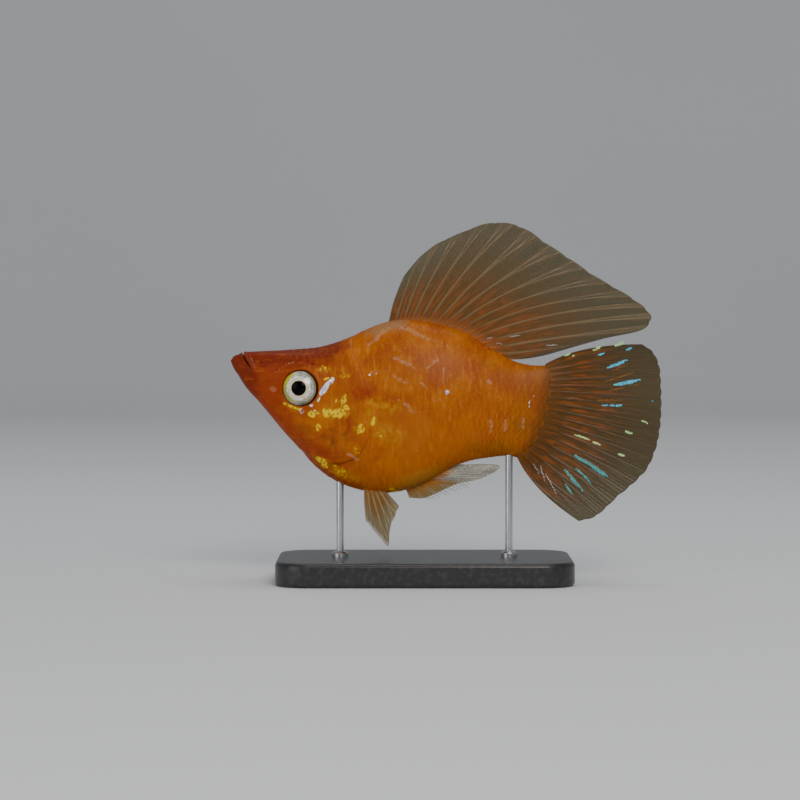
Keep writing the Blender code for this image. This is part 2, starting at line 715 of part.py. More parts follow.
def anal_plan():
    """The anal fin, whose middle rays make a thick rod, the gonopodium, laid back under the belly."""
    edge = line_through(ANAL_ROOT)
    sheet = sheet_thickness(root_half=0.75, ridge_root=0.16, ridge_tip=0.1)

    def root(share):
        back, up = edge(share)
        return back, up + ANAL_SUNK

    def thick(share, along, ridge):
        across = (share - GONOPODIUM_SHARE) / GONOPODIUM_SPREAD
        rod = GONOPODIUM_HALF_DEPTH * math.exp(-across * across) * (1 - GONOPODIUM_TAPER * along)
        return sheet(share, along, ridge) + rod

    margin, leave = line_through(ANAL_MARGIN), angle_through(ANAL_LEAVE)
    return FinPlan(ANAL_RAYS, root, margin, leave, thick, straight, fork=0.9, notch=0.02)


def pelvic_plan():
    """A pelvic fin, with its third ray drawn out to a point."""
    edge = line_through(PELVIC_ROOT)

    def root(share):
        back, up = edge(share)
        return back, up + PELVIC_SUNK

    thick = sheet_thickness(root_half=0.45, ridge_root=0.2, ridge_tip=0.08)
    margin, leave = line_through(PELVIC_MARGIN), angle_through(PELVIC_LEAVE)
    return FinPlan(PELVIC_RAYS, root, margin, leave, thick, straight, fork=0.55, notch=0.04)


def pectoral_plan():
    """A pectoral fin in its own plane: a rounded, slightly cupped fan of unforked rays on a short root."""
    fan = angle_through(PECTORAL_FAN)
    reach = curve_through(PECTORAL_REACH)

    def root(share):
        return -PECTORAL_SUNK, PECTORAL_ROOT_HALF * (1 - 2 * share)

    def margin(share):
        long = PECTORAL_LENGTH * reach(share)
        return long * math.cos(fan(share)), PECTORAL_ROOT_HALF * (1 - 2 * share) + long * math.sin(fan(share))

    def bow(share, along):
        return -PECTORAL_CUP * along * along

    thick = sheet_thickness(root_half=0.5, ridge_root=0.18, ridge_tip=0.1)
    return FinPlan(PECTORAL_RAYS, root, margin, fan, thick, bow, fork=2.0)


def add_fringe(anal):
    """The free ray ends below the anal fin: thin tapered spines with their roots in it, joined to it."""
    spines = bpy.data.collections.new("fringe")
    bpy.context.scene.collection.children.link(spines)
    along = Vector((math.cos(FRINGE_ANGLE), 0, math.sin(FRINGE_ANGLE)))
    turn = along.to_track_quat("Z", "Y").to_matrix().to_4x4()
    for k in range(FRINGE_COUNT):
        share = k / (FRINGE_COUNT - 1)
        back, up = (a + (b - a) * share for a, b in zip(FRINGE_FIRST, FRINGE_LAST))
        middle = spot(back, up) + along * (FRINGE_LENGTH / 2 - FRINGE_SUNK) * MM
        primitive(
            f"fringe_{k}", spines, bmesh.ops.create_cone, Matrix.Translation(middle) @ turn, cap_ends=True,
            segments=5, radius1=FRINGE_ROOT_RADIUS * MM, radius2=FRINGE_TIP_RADIUS * MM,
            depth=FRINGE_LENGTH * MM,
        )
    combine(anal, spines, "UNION")
    for spine in list(spines.objects):
        bpy.data.objects.remove(spine)
    bpy.data.collections.remove(spines)


def pelvic_placing(side):
    """A pelvic fin's placing: beside the middle plane, swung outwards about the front of its root."""
    hinge = spot(*PELVIC_ROOT[0][1:])
    beside = hinge + Vector((0, side * PELVIC_APART * MM, 0))
    swing = Matrix.Rotation(side * PELVIC_SPREAD, 4, "X")
    return Matrix.Translation(beside) @ swing @ Matrix.Translation(-hinge) @ upright()


def pectoral_placing(side):
    """A pectoral fin's placing: held out from the flank and down, with its face to the side."""
    place = spot(*PECTORAL_PLACE)
    place.y = side * surface_width(*PECTORAL_PLACE) * MM
    along = Vector((
        math.cos(PECTORAL_OUT) * math.cos(PECTORAL_DOWN),
        side * math.sin(PECTORAL_OUT),
        -math.cos(PECTORAL_OUT) * math.sin(PECTORAL_DOWN),
    )).normalized()
    across = (Vector((0, 0, 1)) - along * along.z).normalized()
    out = along.cross(across) * -side
    return Matrix.Translation(place) @ Matrix((along, across, out)).transposed().to_4x4()


def make_fins(parts, tools):
    """Every fin, cut back to stand off the flesh that it grows from."""
    grown_body = body_loft("fin_room", tools, FIN_ROOM, margin=JOINT_GAP)
    dorsal = make_fin("dorsal_fin", parts, dorsal_plan(), 10, upright())
    combine(dorsal, grown_body, "DIFFERENCE")

    caudal = make_fin("tail_fin", parts, caudal_plan(), 10, upright())
    front = [(STEM_CUT, TAIL_EDGE[-1][1]), (STEM_CUT, TAIL_EDGE[0][1])]
    grown_stem = [*offset_line(TAIL_EDGE, JOINT_GAP), *front]
    combine(caudal, side_prism("stem_reach", tools, grown_stem), "DIFFERENCE")

    anal = make_fin("anal_fin", parts, anal_plan(), 8, upright())
    add_fringe(anal)
    combine(anal, grown_body, "DIFFERENCE")

    for label, side in (("left", -1), ("right", 1)):
        pelvic = make_fin("pelvic_fin_" + label, parts, pelvic_plan(), 8, pelvic_placing(side))
        combine(pelvic, grown_body, "DIFFERENCE")
        placing = pectoral_placing(side)
        pectoral = make_fin("pectoral_fin_" + label, parts, pectoral_plan(), 7, placing, quarters=2)
        combine(pectoral, grown_body, "DIFFERENCE")


# The stand


def base_outline():
    """The base's outline in metres: a rectangle with round corners."""
    corners = []
    for quarter, (sx, sy) in enumerate(((1, 1), (-1, 1), (-1, -1), (1, -1))):
        for k in range(BASE_CORNER_STEPS + 1):
            turn = math.pi / 2 * (quarter + k / BASE_CORNER_STEPS)
            x = BASE_MIDDLE + sx * (BASE_LENGTH / 2 - BASE_CORNER) + BASE_CORNER * math.cos(turn)
            y = sy * (BASE_WIDTH / 2 - BASE_CORNER) + BASE_CORNER * math.sin(turn)
            corners.append((x * MM, y * MM))
    return corners


def make_stand(parts, tools, trunk, stem):
    """A flat base with rounded corners, and two rods seated in it and in the belly."""
    flat = flat_plate("stand_base", base_outline(), BASE_THICKNESS / 2, tools)
    flat.location.z = BASE_THICKNESS / 2 * MM
    base = as_mesh(flat, "stand_base", parts)
    rounded = base.modifiers.new("edge", "BEVEL")
    rounded.width = BASE_BEVEL * MM
    rounded.segments = 2
    rounded.limit_method = "ANGLE"
    apply_modifiers(base)

    between = (BASE_THICKNESS + CLEAR_OF_BASE) * MM
    wide = ROD_RADIUS + JOINT_GAP
    for (label, back), flesh in zip(ROD_PLACES.items(), (trunk, stem)):
        place = spot(back, 0.0)
        low = (BASE_THICKNESS - ROD_IN_BASE) * MM
        high = spot(back, belly_line(back) + ROD_IN_BODY).z
        upright_rod("stand_rod_" + label, parts, place, low, high, ROD_RADIUS)
        hole_low, hole_high = low - JOINT_GAP * MM, high + JOINT_GAP * MM
        base_hole = upright_rod("base_hole_" + label, tools, place, hole_low, between, wide)
        combine(base, base_hole, "DIFFERENCE")
        body_hole = upright_rod("body_hole_" + label, tools, place, between, hole_high, wide)
        combine(flesh, body_hole, "DIFFERENCE")


# Assembly


def give_finishes(parts):
    """One Principled material for each finish, set on its pieces."""
    made = {}
    for name, (colour, roughness, metallic) in FINISHES.items():
        material = bpy.data.materials.new(name)
        material.use_nodes = True
        shader = material.node_tree.nodes["Principled BSDF"]
        shader.inputs["Base Color"].default_value = (*colour, 1.0)
        shader.inputs["Roughness"].default_value = roughness
        shader.inputs["Metallic"].default_value = metallic
        made[name] = material
    for piece in parts.objects:
        piece.data.materials.clear()
        piece.data.materials.append(made[FINISH_OF[piece.name]])
        piece.data.shade_smooth()
        piece.data.set_sharp_from_angle(angle=SHARP_FROM)


def main():
    """Builds the model in an empty scene."""
    for old in list(bpy.data.objects):
        bpy.data.objects.remove(old)
    parts = bpy.data.collections.new("sailfin_molly")
    tools = bpy.data.collections.new("cutters")
    bpy.context.scene.collection.children.link(parts)
    bpy.context.scene.collection.children.link(tools)
    head, trunk, stem = make_body(parts, tools)
    cut_mouth(tools, head)
    make_eyes(parts, tools, head)
    make_fins(parts, tools)
    make_stand(parts, tools, trunk, stem)
    give_finishes(parts)
    for cutter in tools.objects:
        cutter.hide_render = True
        cutter.display_type = "WIRE"


main()
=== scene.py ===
"""The looks of a golden sailfin molly, an adult male, as a life-size still model on a plain stand.

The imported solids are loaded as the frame. One skin with its scales, the eyes, the fins with their fine rays
and the stand are then made in their place. Lengths in the fish's classes are millimetres: places on the fish
are written as back from the snout, out from the middle plane and up from the snout. Meshes are in metres.
"""

import logging
import math
from collections.abc import Callable, Sequence
from dataclasses import dataclass, field
from enum import Enum

import bpy
import numpy as np
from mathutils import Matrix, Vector


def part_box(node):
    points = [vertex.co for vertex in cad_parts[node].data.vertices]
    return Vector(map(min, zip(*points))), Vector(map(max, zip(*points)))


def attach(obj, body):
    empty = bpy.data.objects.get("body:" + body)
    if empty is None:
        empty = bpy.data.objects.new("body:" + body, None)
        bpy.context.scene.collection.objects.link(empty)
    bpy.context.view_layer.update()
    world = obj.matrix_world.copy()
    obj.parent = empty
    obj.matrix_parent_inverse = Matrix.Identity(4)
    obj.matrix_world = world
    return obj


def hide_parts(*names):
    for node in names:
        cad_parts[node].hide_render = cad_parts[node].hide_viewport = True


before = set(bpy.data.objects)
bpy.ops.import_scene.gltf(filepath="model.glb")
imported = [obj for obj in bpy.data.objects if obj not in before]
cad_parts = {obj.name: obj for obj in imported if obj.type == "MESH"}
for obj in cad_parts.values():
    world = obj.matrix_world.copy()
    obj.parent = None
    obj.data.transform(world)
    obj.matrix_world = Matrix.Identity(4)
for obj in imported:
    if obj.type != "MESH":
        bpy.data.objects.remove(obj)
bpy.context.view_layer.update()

log = logging.getLogger("sailfin_molly")

Array = np.ndarray
Colour = tuple[float, float, float]
Place = tuple[float, float]
Spot = tuple[float, float, float]
Points = tuple[Place, ...]
Socket = bpy.types.NodeSocket

MM = 0.001
TOTAL_LENGTH = 90.1
SNOUT_HEIGHT = 46.8
SNOUT = np.array([-TOTAL_LENGTH / 2, 0.0, SNOUT_HEIGHT])
MAP_NAME = "OFBake"
ALL_SMOOTH = 180.0


class Side(Enum):
    """A side of the fish, as the sign of Y in the frame."""

    LEFT = -1
    RIGHT = 1

    @property
    def label(self) -> str:
        """The side's word in the names of pieces."""
        return self.name.lower()


def smooth(low: float, high: float, value: Array | float) -> Array:
    """A smooth step, 0 before low and 1 past high, which may also lie below low."""
    t = np.clip((np.asarray(value, float) - low) / (high - low), 0.0, 1.0)
    return t * t * (3 - 2 * t)


def bell(distance: Array, width: float) -> Array:
    """A bell curve that is 1 at no distance and falls off over width."""
    return np.exp(-((distance / width) ** 2))


def to_frame(points: Array) -> Array:
    """Places as back, out and up in millimetres, made X, Y and Z in metres."""
    return (np.asarray(points, float) + SNOUT) * MM


def map_along(station: Array) -> Array:
    """The map's U of a station, with a little room at the snout and the tail."""
    return (station + 1.0) / 70.0


def from_frame(points: Array) -> Array:
    """Places as X, Y and Z in metres, made back, out and up in millimetres."""
    return np.asarray(points, float) / MM - SNOUT


@dataclass(frozen=True)
class Profile:
    """A smooth curve through a few chosen points, each a place and a value."""

    points: Points

    def __call__(self, place: Array | float) -> Array:
        """The curve's value, held level past its ends.

        Args:
            place: where to read the curve.

        Returns:
            The value at each place.
        """
        xs, ys = np.array(self.points, float).T
        steps, rises = np.diff(xs), np.diff(ys)
        rates = rises / steps
        inner = (steps[1:] * rates[:-1] + steps[:-1] * rates[1:]) / (steps[:-1] + steps[1:])
        slopes = np.concatenate([rates[:1], inner, rates[-1:]])
        x = np.clip(np.asarray(place, float), xs[0], xs[-1])
        i = np.clip(np.searchsorted(xs, x, side="right") - 1, 0, len(steps) - 1)
        t = (x - xs[i]) / steps[i]
        near, far = slopes[i] * steps[i], slopes[i + 1] * steps[i]
        return ys[i] + t * (near + t * (3 * rises[i] - 2 * near - far + t * (near + far - 2 * rises[i])))


class SideLine:
    """A smooth line seen from the side."""

    def __init__(self, *points: Place) -> None:
        """Keeps the back and up pairs that the line runs through."""
        self.points = points

    def distance(self, back: Array, up: Array, count: int = 60) -> tuple[Array, Array]:
        """How far places seen from the side lie from the line.

        Args:
            back: places back from the snout.
            up: their heights.
            count: how many points of the line are joined by straight runs.

        Returns:
            The distance, positive to the left of the line as it runs, and the share along the line.
        """
        places = np.arange(len(self.points), dtype=float)
        steps = np.linspace(0, places[-1], count)
        line = np.stack([Profile(tuple(zip(places, ends)))(steps) for ends in zip(*self.points)], -1)
        shape = np.broadcast(back, up).shape
        spots = np.stack(np.broadcast_arrays(back, up), -1).reshape(-1, 2)
        best, sign, share = np.full(len(spots), np.inf), np.ones(len(spots)), np.zeros(len(spots))
        for k, (a, b) in enumerate(zip(line, line[1:])):
            along = b - a
            offset = spots - a
            part = np.clip(offset @ along / (along @ along), 0, 1)
            far = np.linalg.norm(offset - part[:, None] * along, axis=1)
            closer = far < best
            turn = along[0] * offset[:, 1] - along[1] * offset[:, 0]
            best = np.where(closer, far, best)
            sign = np.where(closer, np.where(turn >= 0, 1.0, -1.0), sign)
            share = np.where(closer, (k + part) / (count - 1), share)
        return (best * sign).reshape(shape), share.reshape(shape)


# Meshes


@dataclass
class MeshParts:
    """The points and faces of one piece, with a value of each kind at each point and its map."""

    points: Array
    faces: Array
    triangles: Array = field(default_factory=lambda: np.zeros((0, 3)))
    values: dict[str, Array] = field(default_factory=dict)
    corners: Array | None = None

    def build(
        self, name: str, material: bpy.types.Material, slot: str = "", nodes: Sequence[str] = (),
        smooth_angle: float = ALL_SMOOTH,
    ) -> bpy.types.Object:
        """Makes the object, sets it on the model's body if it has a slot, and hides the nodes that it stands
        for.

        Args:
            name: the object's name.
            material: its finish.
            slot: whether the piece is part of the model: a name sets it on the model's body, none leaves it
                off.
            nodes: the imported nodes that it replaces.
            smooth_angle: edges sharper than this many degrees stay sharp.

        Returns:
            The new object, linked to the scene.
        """
        mesh = bpy.data.meshes.new(name)
        quads, thirds = self.faces.astype(np.int32), self.triangles.astype(np.int32)
        loops = np.concatenate([quads.ravel(), thirds.ravel()])
        starts = np.concatenate([np.arange(len(quads)) * 4, quads.size + np.arange(len(thirds)) * 3])
        mesh.vertices.add(len(self.points))
        mesh.vertices.foreach_set("co", to_frame(self.points).ravel())
        mesh.loops.add(len(loops))
        mesh.loops.foreach_set("vertex_index", loops)
        mesh.polygons.add(len(starts))
        mesh.polygons.foreach_set("loop_start", starts.astype(np.int32))
        mesh.update(calc_edges=True)
        for label, numbers in self.values.items():
            kept = mesh.attributes.new(label, "FLOAT", "POINT")
            kept.data.foreach_set("value", numbers.astype(np.float32).ravel())
        if self.corners is not None:
            layer = mesh.uv_layers.new(name=MAP_NAME)
            layer.uv.foreach_set("vector", self.corners.astype(np.float32).ravel())
        mesh.validate()
        mesh.shade_smooth()
        mesh.set_sharp_from_angle(angle=math.radians(smooth_angle))
        mesh.materials.append(material)
        piece = bpy.data.objects.new(name, mesh)
        bpy.context.scene.collection.objects.link(piece)
        if slot:
            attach(piece, "root")
        if nodes:
            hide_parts(*nodes)
        log.info("%s: %d faces", name, len(mesh.polygons))
        return piece


def grid_faces(rows: int, columns: int, wrap: bool = False, flip: bool = False) -> Array:
    """The quads of a grid whose points are stored row by row.

    Args:
        rows: rows of points.
        columns: points in a row.
        wrap: whether the last column joins the first.
        flip: whether the faces turn the other way.

    Returns:
        An array of four point numbers a face.
    """
    r = np.arange(rows - 1)[:, None] * columns
    c = np.arange(columns if wrap else columns - 1)[None, :]
    after = (c + 1) % columns
    quads = np.stack([r + c, r + after, r + columns + after, r + columns + c], -1).reshape(-1, 4)
    return quads[:, ::-1] if flip else quads


def ring_faces(rings: int, count: int, flip: bool = False) -> tuple[Array, Array]:
    """The faces of stacked rings that close in a middle point at either end.

    Args:
        rings: how many rings are stored, with the first end's middle and the last end's after them.
        count: points in a ring.
        flip: whether the faces turn the other way.

    Returns:
        The quads between the rings, and the triangles of both ends.
    """
    here = np.arange(count)
    after = (here + 1) % count
    size = rings * count
    first = np.stack([np.full(count, size), after, here], -1)
    last = np.stack([np.full(count, size + 1), size - count + here, size - count + after], -1)
    ends = np.concatenate([first, last])
    return grid_faces(rings, count, wrap=True, flip=flip), ends[:, [0, 2, 1]] if flip else ends


def ring_parts(rings: Array, flip: bool = False) -> MeshParts:
    """A piece of stacked rings, closed in the middles of the first and the last."""
    points = np.concatenate([rings.reshape(-1, 3), rings[[0, -1]].mean(axis=1)])
    return MeshParts(points, *ring_faces(*rings.shape[:2], flip))


def plate_faces(rows: int, columns: int) -> Array:
    """The quads of a thin closed plate.

    Args:
        rows: rows of points on a face.
        columns: points in a row.

    Returns:
        The upper face's quads, those of the lower face, whose points are stored after it, and the rim's.
    """
    size = rows * columns
    quads = grid_faces(rows, columns)
    rim = np.concatenate([
        np.arange(columns), np.arange(1, rows) * columns + columns - 1,
        np.arange(size - 2, size - columns - 1, -1), np.arange(rows - 2, 0, -1) * columns,
    ])
    after = np.roll(rim, -1)
    walls = np.stack([after, rim, rim + size, after + size], -1)
    return np.concatenate([quads, quads[:, ::-1] + size, walls])


def inwards(points: Array, quads: Array) -> bool:
    """Whether a closed mesh's faces turn inwards."""
    a, b, c, d = (points[quads[:, k]] for k in range(4))
    return bool((a * np.cross(b, c)).sum() + (a * np.cross(c, d)).sum() < 0)


# Finishes


class Graph:
    """A material's node tree, with short methods for the nodes that the finishes are made of."""

    def __init__(self, name: str) -> None:
        """Starts a material of that name."""
        self.material = bpy.data.materials.new(name)
        self.material.use_nodes = True
        self.tree = self.material.node_tree
        self.shader = self.tree.nodes["Principled BSDF"]

    def feed(self, socket: Socket, value: object) -> None:
        """Links a socket to another, or sets it.

        Args:
            socket: the input.
            value: an output socket, a number, or three colour values.
        """
        if isinstance(value, Socket):
            self.tree.links.new(value, socket)
        elif isinstance(value, tuple) and socket.type == "RGBA":
            socket.default_value = (*value, 1.0)
        else:
            socket.default_value = value

    def node(self, kind: str, inputs: dict, output: str | int = 0, **settings: object) -> Socket:
        """Adds a node.

        Args:
            kind: its type, without the words that every type starts with.
            inputs: what its inputs get, by name or number.
            output: which output is wanted.
            **settings: the node's own settings.

        Returns:
            The output.
        """
        made = self.tree.nodes.new("ShaderNode" + kind)
        for label, setting in settings.items():
            setattr(made, label, setting)
        for label, value in inputs.items():
            self.feed(made.inputs[label], value)
        return made.outputs[output]

    def set(self, **values: object) -> None:
        """Feeds the shader's inputs, named with underscores for spaces."""
        for label, value in values.items():
            self.feed(self.shader.inputs[label.replace("_", " ")], value)

    def value(self, name: str) -> Socket:
        """The number that the mesh holds under a name."""
        return self.node("Attribute", {}, "Fac", attribute_name=name)

    def place(self) -> Socket:
        """The place on the model, in metres."""
        return self.node("TexCoord", {}, "Object")

    def scaled(self, *stretch: float) -> Socket:
        """The place on the model, stretched by a number each way."""
        return self.node("Mapping", {"Scale": stretch, "Vector": self.place()})

    def sum(self, kind: str, *inputs: object, clamp: bool = False) -> Socket:
        """A sum of a kind, held between 0 and 1 if it is clamped."""
        return self.node("Math", dict(enumerate(inputs)), operation=kind, use_clamp=clamp)

    def times(self, first: object, second: object) -> Socket:
        """The product of two factors."""
        return self.sum("MULTIPLY", first, second)

    def line(self, value: object, rate: object, start: object) -> Socket:
        """A value times a rate, from a start."""
        return self.sum("MULTIPLY_ADD", value, rate, start)

    def between(self, value: object, low: float, high: float) -> Socket:
        """A smooth step of a value, from 0 at low to 1 at high."""
        inputs = {"Value": value, "From Min": low, "From Max": high}
        return self.node("MapRange", inputs, interpolation_type="SMOOTHSTEP")

    def mix(self, factor: object, first: object, second: object) -> Socket:
        """A colour between two others."""
        return self.node("Mix", {0: factor, 6: first, 7: second}, 2, data_type="RGBA")

    def layers(self, base: object, *layers: tuple[object, float, object]) -> Socket:
        """A base colour with others over it, each given as its mask, its amount and its colour."""
        for mask, amount, colour in layers:
            base = self.mix(self.times(mask, amount), base, colour)
        return base

    def noise(self, scale: float, detail: float = 3.0, vector: object = None, seed: float = 0.0) -> Socket:
        """Soft noise from 0 to 1.

        Args:
            scale: features in each metre, or in each unit of the vector.
            detail: how many finer layers it has.
            vector: where to read it, the place on the model if not given.
            seed: a number that shifts it.

        Returns:
            The noise.
        """
        vector = self.place() if vector is None else vector
        inputs = {"Vector": vector, "W": seed, "Scale": scale, "Detail": detail}
        return self.node("TexNoise", inputs, "Fac", noise_dimensions="4D")

    def cells(self, scale: float) -> Socket:
        """The distance to the nearest of many scattered points."""
        return self.node("TexVoronoi", {"Vector": self.place(), "Scale": scale}, "Distance")

    def vector(self, *parts: object) -> Socket:
        """A vector of two or three numbers or sockets."""
        return self.node("CombineXYZ", dict(enumerate(parts)))

    def bump(self, height: object, strength: float, depth: float, under: object = None) -> Socket:
        """A bump.

        Args:
            height: the relief, from 0 to 1.
            strength: how much of it shows.
            depth: its depth in metres.
            under: a bump that it adds to.

        Returns:
            The changed normal.
        """
        inputs = {"Height": height, "Strength": strength, "Distance": depth}
        return self.node("Bump", inputs if under is None else inputs | {"Normal": under})


class Finish:
    """What a material looks like."""

    def dress(self, name: str) -> bpy.types.Material:
        """Makes a material of that name."""
        g = Graph(name)
        self.paint(g)
        return g.material

    def paint(self, g: Graph) -> None:
        """Sets the shader of a new material."""
        raise NotImplementedError


@dataclass(frozen=True)
class FleshFinish(Finish):
    """Moist golden-orange skin. The skin and its scales share its colours and markings."""

    scaly: bool = False
    flank: Colour = (0.37, 0.066, 0.0)
    flank_light: Colour = (0.48, 0.122, 0.0)
    crown: Colour = (0.20, 0.016, 0.0)
    head: Colour = (0.32, 0.038, 0.0)
    belly: Colour = (0.50, 0.122, 0.0)
    stem: Colour = (0.17, 0.046, 0.001)
    olive: Colour = (0.26, 0.088, 0.002)
    nape: Colour = (0.34, 0.155, 0.060)
    pale: Colour = (0.52, 0.25, 0.12)
    gold: Colour = (0.50, 0.19, 0.0)
    gold_bright: Colour = (1.0, 0.64, 0.0)
    glow: Colour = (0.62, 0.27, 0.0)
    milk: Colour = (0.46, 0.20, 0.035)
    silver: Colour = (0.95, 0.94, 0.92)
    lilac: Colour = (0.50, 0.46, 0.80)
    # A dark colour, laid as random mottling and as painted shade in creases and at the scales' roots.
    shade: Colour = (0.13, 0.028, 0.0)
    edge: Colour = (0.62, 0.24, 0.02)
    scatter: Spot = (1.0, 0.35, 0.12)

    def marked(self, g: Graph, name: str, low: float, high: float, scale: float, seed: float) -> Socket:
        """A marking's mask, with its rim broken up by noise.

        Args:
            g: the material.
            name: the marking.
            low: where it starts to show.
            high: where it is full.
            scale: the noise's scale.
            seed: the noise's seed.

        Returns:
            How much of the marking shows.
        """
        rough = g.line(g.noise(scale, 5.0, seed=seed), 1.3, -0.65)
        held = g.between(g.value(name), 0.02, 0.2)
        return g.times(g.between(g.sum("ADD", g.value(name), rough), low, high), held)

    def colours(self, g: Graph) -> tuple[Socket, Socket]:
        """The skin's colour.

        Args:
            g: the material.

        Returns:
            The colour, and the mask of the gold and silver places.
        """
        broad = g.between(g.noise(190.0, 4.0, seed=1.0), 0.36, 0.66)
        upright = g.noise(1.0, 4.0, g.scaled(1500.0, 500.0, 330.0), 11.0)
        mottle = g.between(g.noise(1000.0, 5.0, seed=3.0), 0.52, 0.78)
        strokes = g.noise(1.0, 5.0, g.scaled(420.0, 900.0, 1500.0), 15.0)
        bare = g.sum("MAXIMUM", g.value("head"), g.value("crown"))
        cloudy = g.between(g.noise(1000.0, 5.0, seed=16.0), 0.34, 0.66)
        wavy = g.noise(1.0, 5.0, g.scaled(900.0, 900.0, 2300.0), 17.0)
        gold = self.marked(g, "gold", 0.50, 0.66, 1500.0, 7.0)
        leafy = g.between(g.noise(1700.0, 5.0, seed=14.0), 0.42, 0.50)
        silver = self.marked(g, "silver", 0.55, 0.75, 1900.0, 8.0)
        tinted = g.between(g.noise(1300.0, 3.0, seed=9.0), 0.44, 0.60)
        colour = g.layers(
            g.mix(broad, self.flank, self.flank_light),
            (g.value("belly"), 0.7, self.belly),
            (g.between(upright, 0.52, 0.74), 0.45, self.edge),
            (g.between(upright, 0.48, 0.28), 0.28, self.stem),
            (self.marked(g, "head", 0.10, 0.95, 420.0, 12.0), 1.0, self.head),
            (self.marked(g, "crown", 0.20, 0.95, 520.0, 2.0), 1.0, self.crown),
            (mottle, 0.22, self.shade),
            (g.times(g.between(strokes, 0.52, 0.72), bare), 0.50, self.shade),
            (g.times(g.between(strokes, 0.46, 0.28), bare), 0.40, self.flank_light),
            (self.marked(g, "olive", 0.25, 1.0, 700.0, 13.0), 1.0, self.olive),
            (g.value("stem"), 1.0, self.stem),
            (g.times(g.value("milk"), g.line(cloudy, 0.35, 0.65)), 1.0, self.milk),
            (g.times(g.value("glow"), cloudy), 1.0, self.glow),
            (g.times(g.between(wavy, 0.59, 0.68), g.value("flank")), 0.22, self.pale),
            (self.marked(g, "nape", 0.30, 1.00, 800.0, 4.0), 1.0, self.nape),
            # Painted shade in the gill cover's crease, the mouth's slit and on the cheek.
            (self.marked(g, "shade", 0.35, 1.10, 600.0, 5.0), 1.0, self.shade),
            (self.marked(g, "pale", 0.45, 0.95, 2600.0, 6.0), 0.62, self.pale),
            (self.marked(g, "gold", 0.16, 0.70, 1100.0, 18.0), 0.75, self.gold),
            (gold, 1.0, g.mix(leafy, self.gold, self.gold_bright)),
            (silver, 1.0, g.mix(tinted, self.silver, self.lilac)),
        )
        return colour, g.sum("ADD", gold, silver, clamp=True)

    def paint(self, g: Graph) -> None:
        """Sets the shader. Scales show a pale rim, growth rings and painted shade at the root, and bare skin
        its wrinkles.

        Args:
            g: the material.
        """
        colour, foil = self.colours(g)
        if self.scaly:
            rim = g.value("rim")
            edge = (g.between(rim, 0.68, 1.0), g.value("rim_show"), self.edge)
            # Painted shade: each scale is darkened towards its root, where it tucks under the scale before
            # it.
            colour = g.layers(colour, edge, (g.between(rim, 0.55, 0.18), 0.20, self.shade))
            relief = g.bump(g.sum("SINE", g.times(rim, 60.0)), 0.10, 0.00003)
        else:
            wrinkles = g.noise(1.0, 6.0, g.scaled(1100.0, 2200.0, 2600.0), 10.0)
            relief = g.bump(wrinkles, 0.45, 0.00010)
            relief = g.bump(g.between(g.cells(1500.0), 0.0, 0.30), 0.30, 0.00008, relief)
        g.set(
            Base_Color=colour,
            Metallic=g.times(foil, 0.25),
            Roughness=g.line(foil, -0.18, 0.50),
            Normal=g.bump(g.cells(5200.0), 0.08, 0.00003, relief),
            IOR=1.31,
            Specular_IOR_Level=0.35,
            Coat_Weight=0.05,
            Coat_Roughness=0.26,
            Subsurface_Weight=0.06,
            Subsurface_Scale=0.001,
            Subsurface_Radius=self.scatter,
        )


